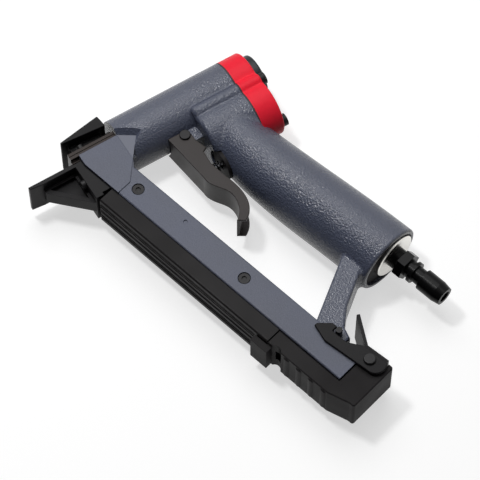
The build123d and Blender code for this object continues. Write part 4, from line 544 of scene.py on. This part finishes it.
class NAILER_OT_air_plug(Dress, bpy.types.Operator):
    """Black plated air plug"""

    bl_idname = "nailer.air_plug"
    bl_label = "Air plug"
    nodes = ("air_plug",)

    def material(self, tones, sizes):
        return plated(tones)


class NAILER_OT_screws(Dress, bpy.types.Operator):
    """Black oxide on the screws and pins"""

    bl_idname = "nailer.screws"
    bl_label = "Screws and pins"
    nodes = (
        "cap_screws", "cap_front_screws", "deflector_screw", "rail_screws", "housing_screws", "nose_screws",
        "shoe_screws", "fence_screws", "trigger_pin", "catch_pin", "latch_pin",
    )

    def material(self, tones, sizes):
        # Black oxide on rolled and headed steel: dark, a little oily, grey on the rims: partly rubbed wear,
        # partly a painted highlight
        return finish(
            "black_oxide", tones.screw, grain=0.4, relief=0.02, roughness=(0.34, 0.46), edge=0.2,
            worn_and_highlit=EDGE_WEAR_AND_HIGHLIGHT["screw"], metallic=0.3, specular_ior_level=0.3,
        )


def spring_wire(tones):
    """Oil-tempered spring wire: nearly black, with the glint of drawn steel."""
    made = bpy.data.materials.get("tempered_wire")
    return made or finish(
        "tempered_wire", tones.wire, grain=0.3, relief=0.01, roughness=(0.24, 0.34), metallic=1.0
    )


class NAILER_OT_springs(bpy.types.Operator):
    """Coil springs in tempered wire, each a copy of its node with merged seams, carried by its body"""

    bl_idname = "nailer.springs"
    bl_label = "Coil springs"

    def execute(self, context):
        for name, (body, joint) in COILS.items():
            mesh = self.closed_copy(name)
            mesh.materials.clear()
            mesh.materials.append(spring_wire(context.scene.nailer_finishes))
            coil = bpy.data.objects.new(name + "_coil", mesh)
            context.scene.collection.objects.link(coil)
            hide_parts(name)
            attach(coil, body)
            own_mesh(coil)
        return {"FINISHED"}

    def closed_copy(self, name):
        """A copy of a node's mesh whose seams are merged."""
        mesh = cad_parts[name].data.copy()
        shape = bmesh.new()
        shape.from_mesh(mesh)
        bmesh.ops.remove_doubles(shape, verts=shape.verts, dist=SEAM_PLAY)
        shape.to_mesh(mesh)
        shape.free()
        # The normals that the node came with belong to its open seams
        if "custom_normal" in mesh.attributes:
            mesh.attributes.remove(mesh.attributes["custom_normal"])
        mesh.set_sharp_from_angle(angle=SHARP_ANGLE)
        return mesh


class NAILER_OT_latch_spring(Dress, bpy.types.Operator):
    """Drawn wire of the latch's torsion spring"""

    bl_idname = "nailer.latch_spring"
    bl_label = "Latch spring"
    nodes = ("latch_spring",)

    def material(self, tones, sizes):
        return spring_wire(tones)


class NAILER_OT_steel(Dress, bpy.types.Operator):
    """Ground steel of the sleeve, the blade, the drawer and its rod"""

    bl_idname = "nailer.steel"
    bl_label = "Ground steel"
    nodes = ("cylinder_sleeve", "driver_blade", "drawer", "spring_guide_rod")

    def material(self, tones, sizes):
        # Ground and oiled steel: grey, with grinding lines along the magazine
        return finish(
            "ground_steel", tones.steel, grain=0.3, relief=0.01, roughness=(0.36, 0.48),
            stretch=(0.05, 1, 1), metallic=1.0,
        )


class NAILER_OT_piston(Dress, bpy.types.Operator):
    """Turned piston"""

    bl_idname = "nailer.piston"
    bl_label = "Piston"
    nodes = ("piston",)

    def material(self, tones, sizes):
        # Turned aluminium, dulled by oil
        return finish(
            "oiled_aluminium", tones.piston, grain=0.4, relief=0.02, roughness=(0.34, 0.46), metallic=1.0
        )


class NAILER_OT_valve_stem(Dress, bpy.types.Operator):
    """Turned valve stem"""

    bl_idname = "nailer.valve_stem"
    bl_label = "Valve stem"
    nodes = ("valve_stem",)

    def material(self, tones, sizes):
        # Stainless steel, turned: grey and bright, with hardly any grain
        return finish(
            "turned_stainless", tones.stem, grain=0.4, relief=0.01, roughness=(0.24, 0.36), metallic=1.0
        )


class NAILER_OT_seals(Dress, bpy.types.Operator):
    """Rubber rings, gasket and bumper"""

    bl_idname = "nailer.seals"
    bl_label = "Seals"
    nodes = ("sleeve_rings", "bumper", "cap_gasket", "valve_ring", "piston_ring")

    def material(self, tones, sizes):
        # Nitrile rubber, pressed: black and matt with a dusty bloom
        return finish(
            "nitrile_rubber", tones.rubber, grain=0.5, relief=0.03, roughness=(0.60, 0.75), contrast=0.2
        )


def new_tree(name, sizes):
    """An empty geometry tree with an input for each named size, of the given kind of socket."""
    tree = bpy.data.node_groups.new(name, "GeometryNodeTree")
    tree.interface.new_socket("Geometry", in_out="INPUT", socket_type="NodeSocketGeometry")
    tree.interface.new_socket("Geometry", in_out="OUTPUT", socket_type="NodeSocketGeometry")
    for label, kind in sizes.items():
        tree.interface.new_socket(label, in_out="INPUT", socket_type=kind)
    return tree


def close_tree(tree, given, shape, step, material, turn=(0, 0, 0)):
    """Ends a tree: copies of a shape in a row, a step apart, made real, smooth and given their finish."""
    places = {"Count": given["Count"], "Start Location": given["Start"], "Offset": step}
    points = add(tree, "GeometryNodeMeshLine", places).outputs[0]
    copies = {"Points": points, "Instance": shape, "Rotation": turn}
    placed = add(tree, "GeometryNodeInstanceOnPoints", copies)
    real = add(tree, "GeometryNodeRealizeInstances", {0: placed.outputs[0]})
    smooth = add(tree, "GeometryNodeSetShadeSmooth", {0: real.outputs[0]})
    painted = add(tree, "GeometryNodeSetMaterial", {0: smooth.outputs[0], "Material": material})
    add(tree, "NodeGroupOutput", {0: painted.outputs[0]})


def grow(name, tree, values):
    """The plain mesh piece that a tree makes from these values."""
    seed = bpy.data.objects.new(name + "_seed", bpy.data.meshes.new(name + "_seed"))
    bpy.context.scene.collection.objects.link(seed)
    modifier = seed.modifiers.new("grow", "NODES")
    modifier.node_group = tree
    for socket in tree.interface.items_tree:
        if socket.in_out == "INPUT" and socket.name in values:
            modifier[socket.identifier] = values[socket.name]
    graph = bpy.context.evaluated_depsgraph_get()
    mesh = bpy.data.meshes.new_from_object(seed.evaluated_get(graph))
    mesh.name = name
    bpy.data.objects.remove(seed)
    if not mesh.polygons:
        raise RuntimeError(name + " came out empty")
    piece = bpy.data.objects.new(name, mesh)
    bpy.context.scene.collection.objects.link(piece)
    return piece


class NAILER_OT_thread(bpy.types.Operator):
    """Thread ridges that show between the end plug and the air plug's hexagon"""

    bl_idname = "nailer.thread"
    bl_label = "Air plug thread"

    def execute(self, context):
        sizes = context.scene.nailer_details
        tree = new_tree(
            "thread_ridges",
            {
                "Start": "NodeSocketVector",
                "Radius": "NodeSocketFloat",
                "Ridge": "NodeSocketFloat",
                "Pitch": "NodeSocketFloat",
                "Count": "NodeSocketInt",
            },
        )
        given = add(tree, "NodeGroupInput").outputs
        step = add(tree, "ShaderNodeCombineXYZ", {"X": given["Pitch"]}).outputs[0]
        around = {"Resolution": THREAD_SIDES, "Radius": given["Radius"]}
        path = add(tree, "GeometryNodeCurvePrimitiveCircle", around).outputs[0]
        across = {"Resolution": RIDGE_SIDES, "Radius": given["Ridge"]}
        section = add(tree, "GeometryNodeCurvePrimitiveCircle", across).outputs[0]
        ridge = add(tree, "GeometryNodeCurveToMesh", {"Curve": path, "Profile Curve": section}).outputs[0]
        plating = plated(context.scene.nailer_finishes)
        close_tree(tree, given, ridge, step, plating, turn=(0, pi / 2, 0))
        low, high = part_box("air_plug")
        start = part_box("end_plug")[1].x + sizes.thread_ridge
        piece = grow(
            "air_plug_thread",
            tree,
            {
                "Start": Vector((start, (low.y + high.y) / 2, (low.z + high.z) / 2)),
                "Radius": THREAD_RADIUS,
                "Ridge": sizes.thread_ridge,
                "Pitch": sizes.thread_pitch,
                "Count": int((HEX_FRONT - start) / sizes.thread_pitch),
            },
        )
        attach(piece, "body")
        return {"FINISHED"}


class NAILER_OT_beads(bpy.types.Operator):
    """Drawn beads along the underside of the magazine channel"""

    bl_idname = "nailer.beads"
    bl_label = "Channel beads"

    def execute(self, context):
        sizes = context.scene.nailer_details
        tree = new_tree(
            "channel_beads",
            {
                "Start": "NodeSocketVector",
                "Length": "NodeSocketFloat",
                "Bead": "NodeSocketFloat",
                "Step": "NodeSocketFloat",
                "Count": "NodeSocketInt",
            },
        )
        given = add(tree, "NodeGroupInput").outputs
        step = add(tree, "ShaderNodeCombineXYZ", {"Z": given["Step"]}).outputs[0]
        reach = add(tree, "ShaderNodeCombineXYZ", {"X": given["Length"]}).outputs[0]
        path = add(tree, "GeometryNodeCurvePrimitiveLine", {"End": reach}).outputs[0]
        across = {"Resolution": BEAD_SIDES, "Radius": given["Bead"]}
        section = add(tree, "GeometryNodeCurvePrimitiveCircle", across).outputs[0]
        tube = {"Curve": path, "Profile Curve": section, "Fill Caps": True}
        bead = add(tree, "GeometryNodeCurveToMesh", tube).outputs[0]
        close_tree(tree, given, bead, step, bpy.data.materials["black_anodised_extrusion"])
        low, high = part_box("magazine_channel")
        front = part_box("corner_fence")[1].x + BEAD_END_GAP
        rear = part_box("drawer_end_cap")[0].x - BEAD_END_GAP
        lowest = (low.z + high.z) / 2 - sizes.bead_step * (BEAD_COUNT - 1) / 2
        piece = grow(
            "channel_beads",
            tree,
            {
                "Start": Vector((front, low.y, lowest)),
                "Length": rear - front,
                "Bead": sizes.bead_radius,
                "Step": sizes.bead_step,
                "Count": BEAD_COUNT,
            },
        )
        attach(piece, "body")
        return {"FINISHED"}


def seen(tree):
    """1 where a ray comes from the camera, a reflection or through glass, and 0 for light on the object."""
    path = add(tree, "ShaderNodeLightPath").outputs
    first = add(tree, "ShaderNodeMath", {0: path["Is Camera Ray"], 1: path["Is Glossy Ray"]}).outputs[0]
    return add(tree, "ShaderNodeMath", {0: first, 1: path["Is Transmission Ray"]}, use_clamp=True).outputs[0]


def aim(name, data, target, way, distance):
    """An object at a distance from a target, along a way, that faces it."""
    holder = bpy.data.objects.new(name, data)
    holder.location = target + way * distance
    holder.rotation_euler = way.to_track_quat("Z", "Y").to_euler()
    bpy.context.scene.collection.objects.link(holder)
    return holder


class NAILER_OT_stage(bpy.types.Operator):
    """White floor and room, two lamps and the camera"""

    bl_idname = "nailer.stage"
    bl_label = "Stage"

    def execute(self, context):
        scene, look = context.scene, context.scene.nailer_stage
        scene.view_settings.view_transform = "Standard"
        self.lay_floor(scene, look)
        self.light_room(scene, look)
        target = Vector(CAMERA_TARGET)
        for name, (direction, distance, width), watts in (
            ("key_lamp", KEY_PLACE, look.key),
            ("top_lamp", TOP_PLACE, look.top),
        ):
            lamp = bpy.data.lights.new(name, "AREA")
            lamp.size, lamp.energy = width, watts
            aim(name, lamp, target, Vector(direction).normalized(), distance)
        camera = bpy.data.cameras.new("camera")
        camera.lens, camera.sensor_width = look.lens, SENSOR
        out = cos(look.elevation)
        way = Vector((sin(look.azimuth) * out, -cos(look.azimuth) * out, sin(look.elevation)))
        scene.camera = aim("camera", camera, target, way, look.distance)
        return {"FINISHED"}

    def lay_floor(self, scene, look):
        """The floor that the tool lies on."""
        mesh = bpy.data.meshes.new("floor")
        half, level = FLOOR_HALF, CAD_BOX[0].z
        corners = [(-half, -half, level), (half, -half, level), (half, half, level), (-half, half, level)]
        mesh.from_pydata(corners, [], [range(len(corners))])
        floor = bpy.data.objects.new("floor", mesh)
        scene.collection.objects.link(floor)
        # Matt white studio paper: it glows where it is seen, so that it reads as white round the shadow
        paper = bpy.data.materials.new("studio_paper")
        paper.use_nodes = True
        tree = paper.node_tree
        surface = tree.nodes["Principled BSDF"]
        shown = seen(tree)
        tones = {SHARE: shown, COLOUR_A: opaque(look.bounce), COLOUR_B: opaque(look.floor)}
        pale = add(tree, "ShaderNodeMix", tones, data_type="RGBA").outputs[COLOUR_OUT]
        tree.links.new(pale, surface.inputs["Base Color"])
        surface.inputs["Roughness"].default_value = PAPER_ROUGHNESS
        surface.inputs["Specular IOR Level"].default_value = 0.0
        surface.inputs["Emission Color"].default_value = WHITE
        glow = add(tree, "ShaderNodeMapRange", {"Value": shown, "To Max": FLOOR_LIFT}).outputs[0]
        tree.links.new(glow, surface.inputs["Emission Strength"])
        mesh.materials.append(paper)

    def light_room(self, scene, look):
        """The white room round the floor."""
        world = bpy.data.worlds.new("white_room")
        world.use_nodes = True
        tree = world.node_tree
        background = tree.nodes["Background"]
        background.inputs["Color"].default_value = WHITE
        level = add(tree, "ShaderNodeMapRange", {"Value": seen(tree), "To Min": look.fill}).outputs[0]
        # The room behind the camera is unlit, so only the paper's side of it is white in reflections
        toward = add(tree, "ShaderNodeTexCoord").outputs["Generated"]
        side = add(tree, "ShaderNodeVectorMath", {0: toward, 1: PAPER_SIDE}, operation="DOT_PRODUCT")
        span = {"From Min": -ROOM_TURN, "From Max": ROOM_TURN, "To Min": look.dim}
        part = add(tree, "ShaderNodeMapRange", {"Value": side.outputs["Value"], **span}).outputs[0]
        room = add(tree, "ShaderNodeMath", {0: level, 1: part}, operation="MULTIPLY").outputs[0]
        direct = add(tree, "ShaderNodeLightPath").outputs["Is Camera Ray"]
        strength = add(tree, "ShaderNodeMath", {0: room, 1: direct}, operation="MAXIMUM").outputs[0]
        tree.links.new(strength, background.inputs["Strength"])
        scene.world = world


class NAILER_PT_panel(bpy.types.Panel):
    """Lists the nailer's settings and steps"""

    bl_idname = "NAILER_PT_panel"
    bl_label = "Picture Frame Nailer"
    bl_space_type = "VIEW_3D"
    bl_region_type = "UI"
    bl_category = "Nailer"

    def draw(self, context):
        for name, group in GROUPS.items():
            box = self.layout.box()
            for key in group.__annotations__:
                box.prop(getattr(context.scene, name), key)
        for step in STEPS:
            self.layout.operator(step.bl_idname)


GROUPS = {"nailer_finishes": NailerFinishes, "nailer_details": NailerDetails, "nailer_stage": NailerStage}
STEPS = (
    NAILER_OT_stage,
    NAILER_OT_casting,
    NAILER_OT_rail,
    NAILER_OT_cap,
    NAILER_OT_black_coat,
    NAILER_OT_nose,
    NAILER_OT_channel,
    NAILER_OT_plastic,
    NAILER_OT_deflector,
    NAILER_OT_trigger,
    NAILER_OT_end_plug,
    NAILER_OT_air_plug,
    NAILER_OT_screws,
    NAILER_OT_springs,
    NAILER_OT_latch_spring,
    NAILER_OT_steel,
    NAILER_OT_piston,
    NAILER_OT_valve_stem,
    NAILER_OT_seals,
    NAILER_OT_thread,
    NAILER_OT_beads,
)
CLASSES = (*GROUPS.values(), *STEPS, NAILER_PT_panel)


def register():
    for each in CLASSES:
        bpy.utils.register_class(each)
    for name, group in GROUPS.items():
        setattr(bpy.types.Scene, name, bpy.props.PointerProperty(type=group))


def unregister():
    for name in GROUPS:
        delattr(bpy.types.Scene, name)
    for each in reversed(CLASSES):
        bpy.utils.unregister_class(each)


def main():
    register()
    for step in STEPS:
        family, name = step.bl_idname.split(".")
        getattr(getattr(bpy.ops, family), name)()


if __name__ == "__main__":
    main()
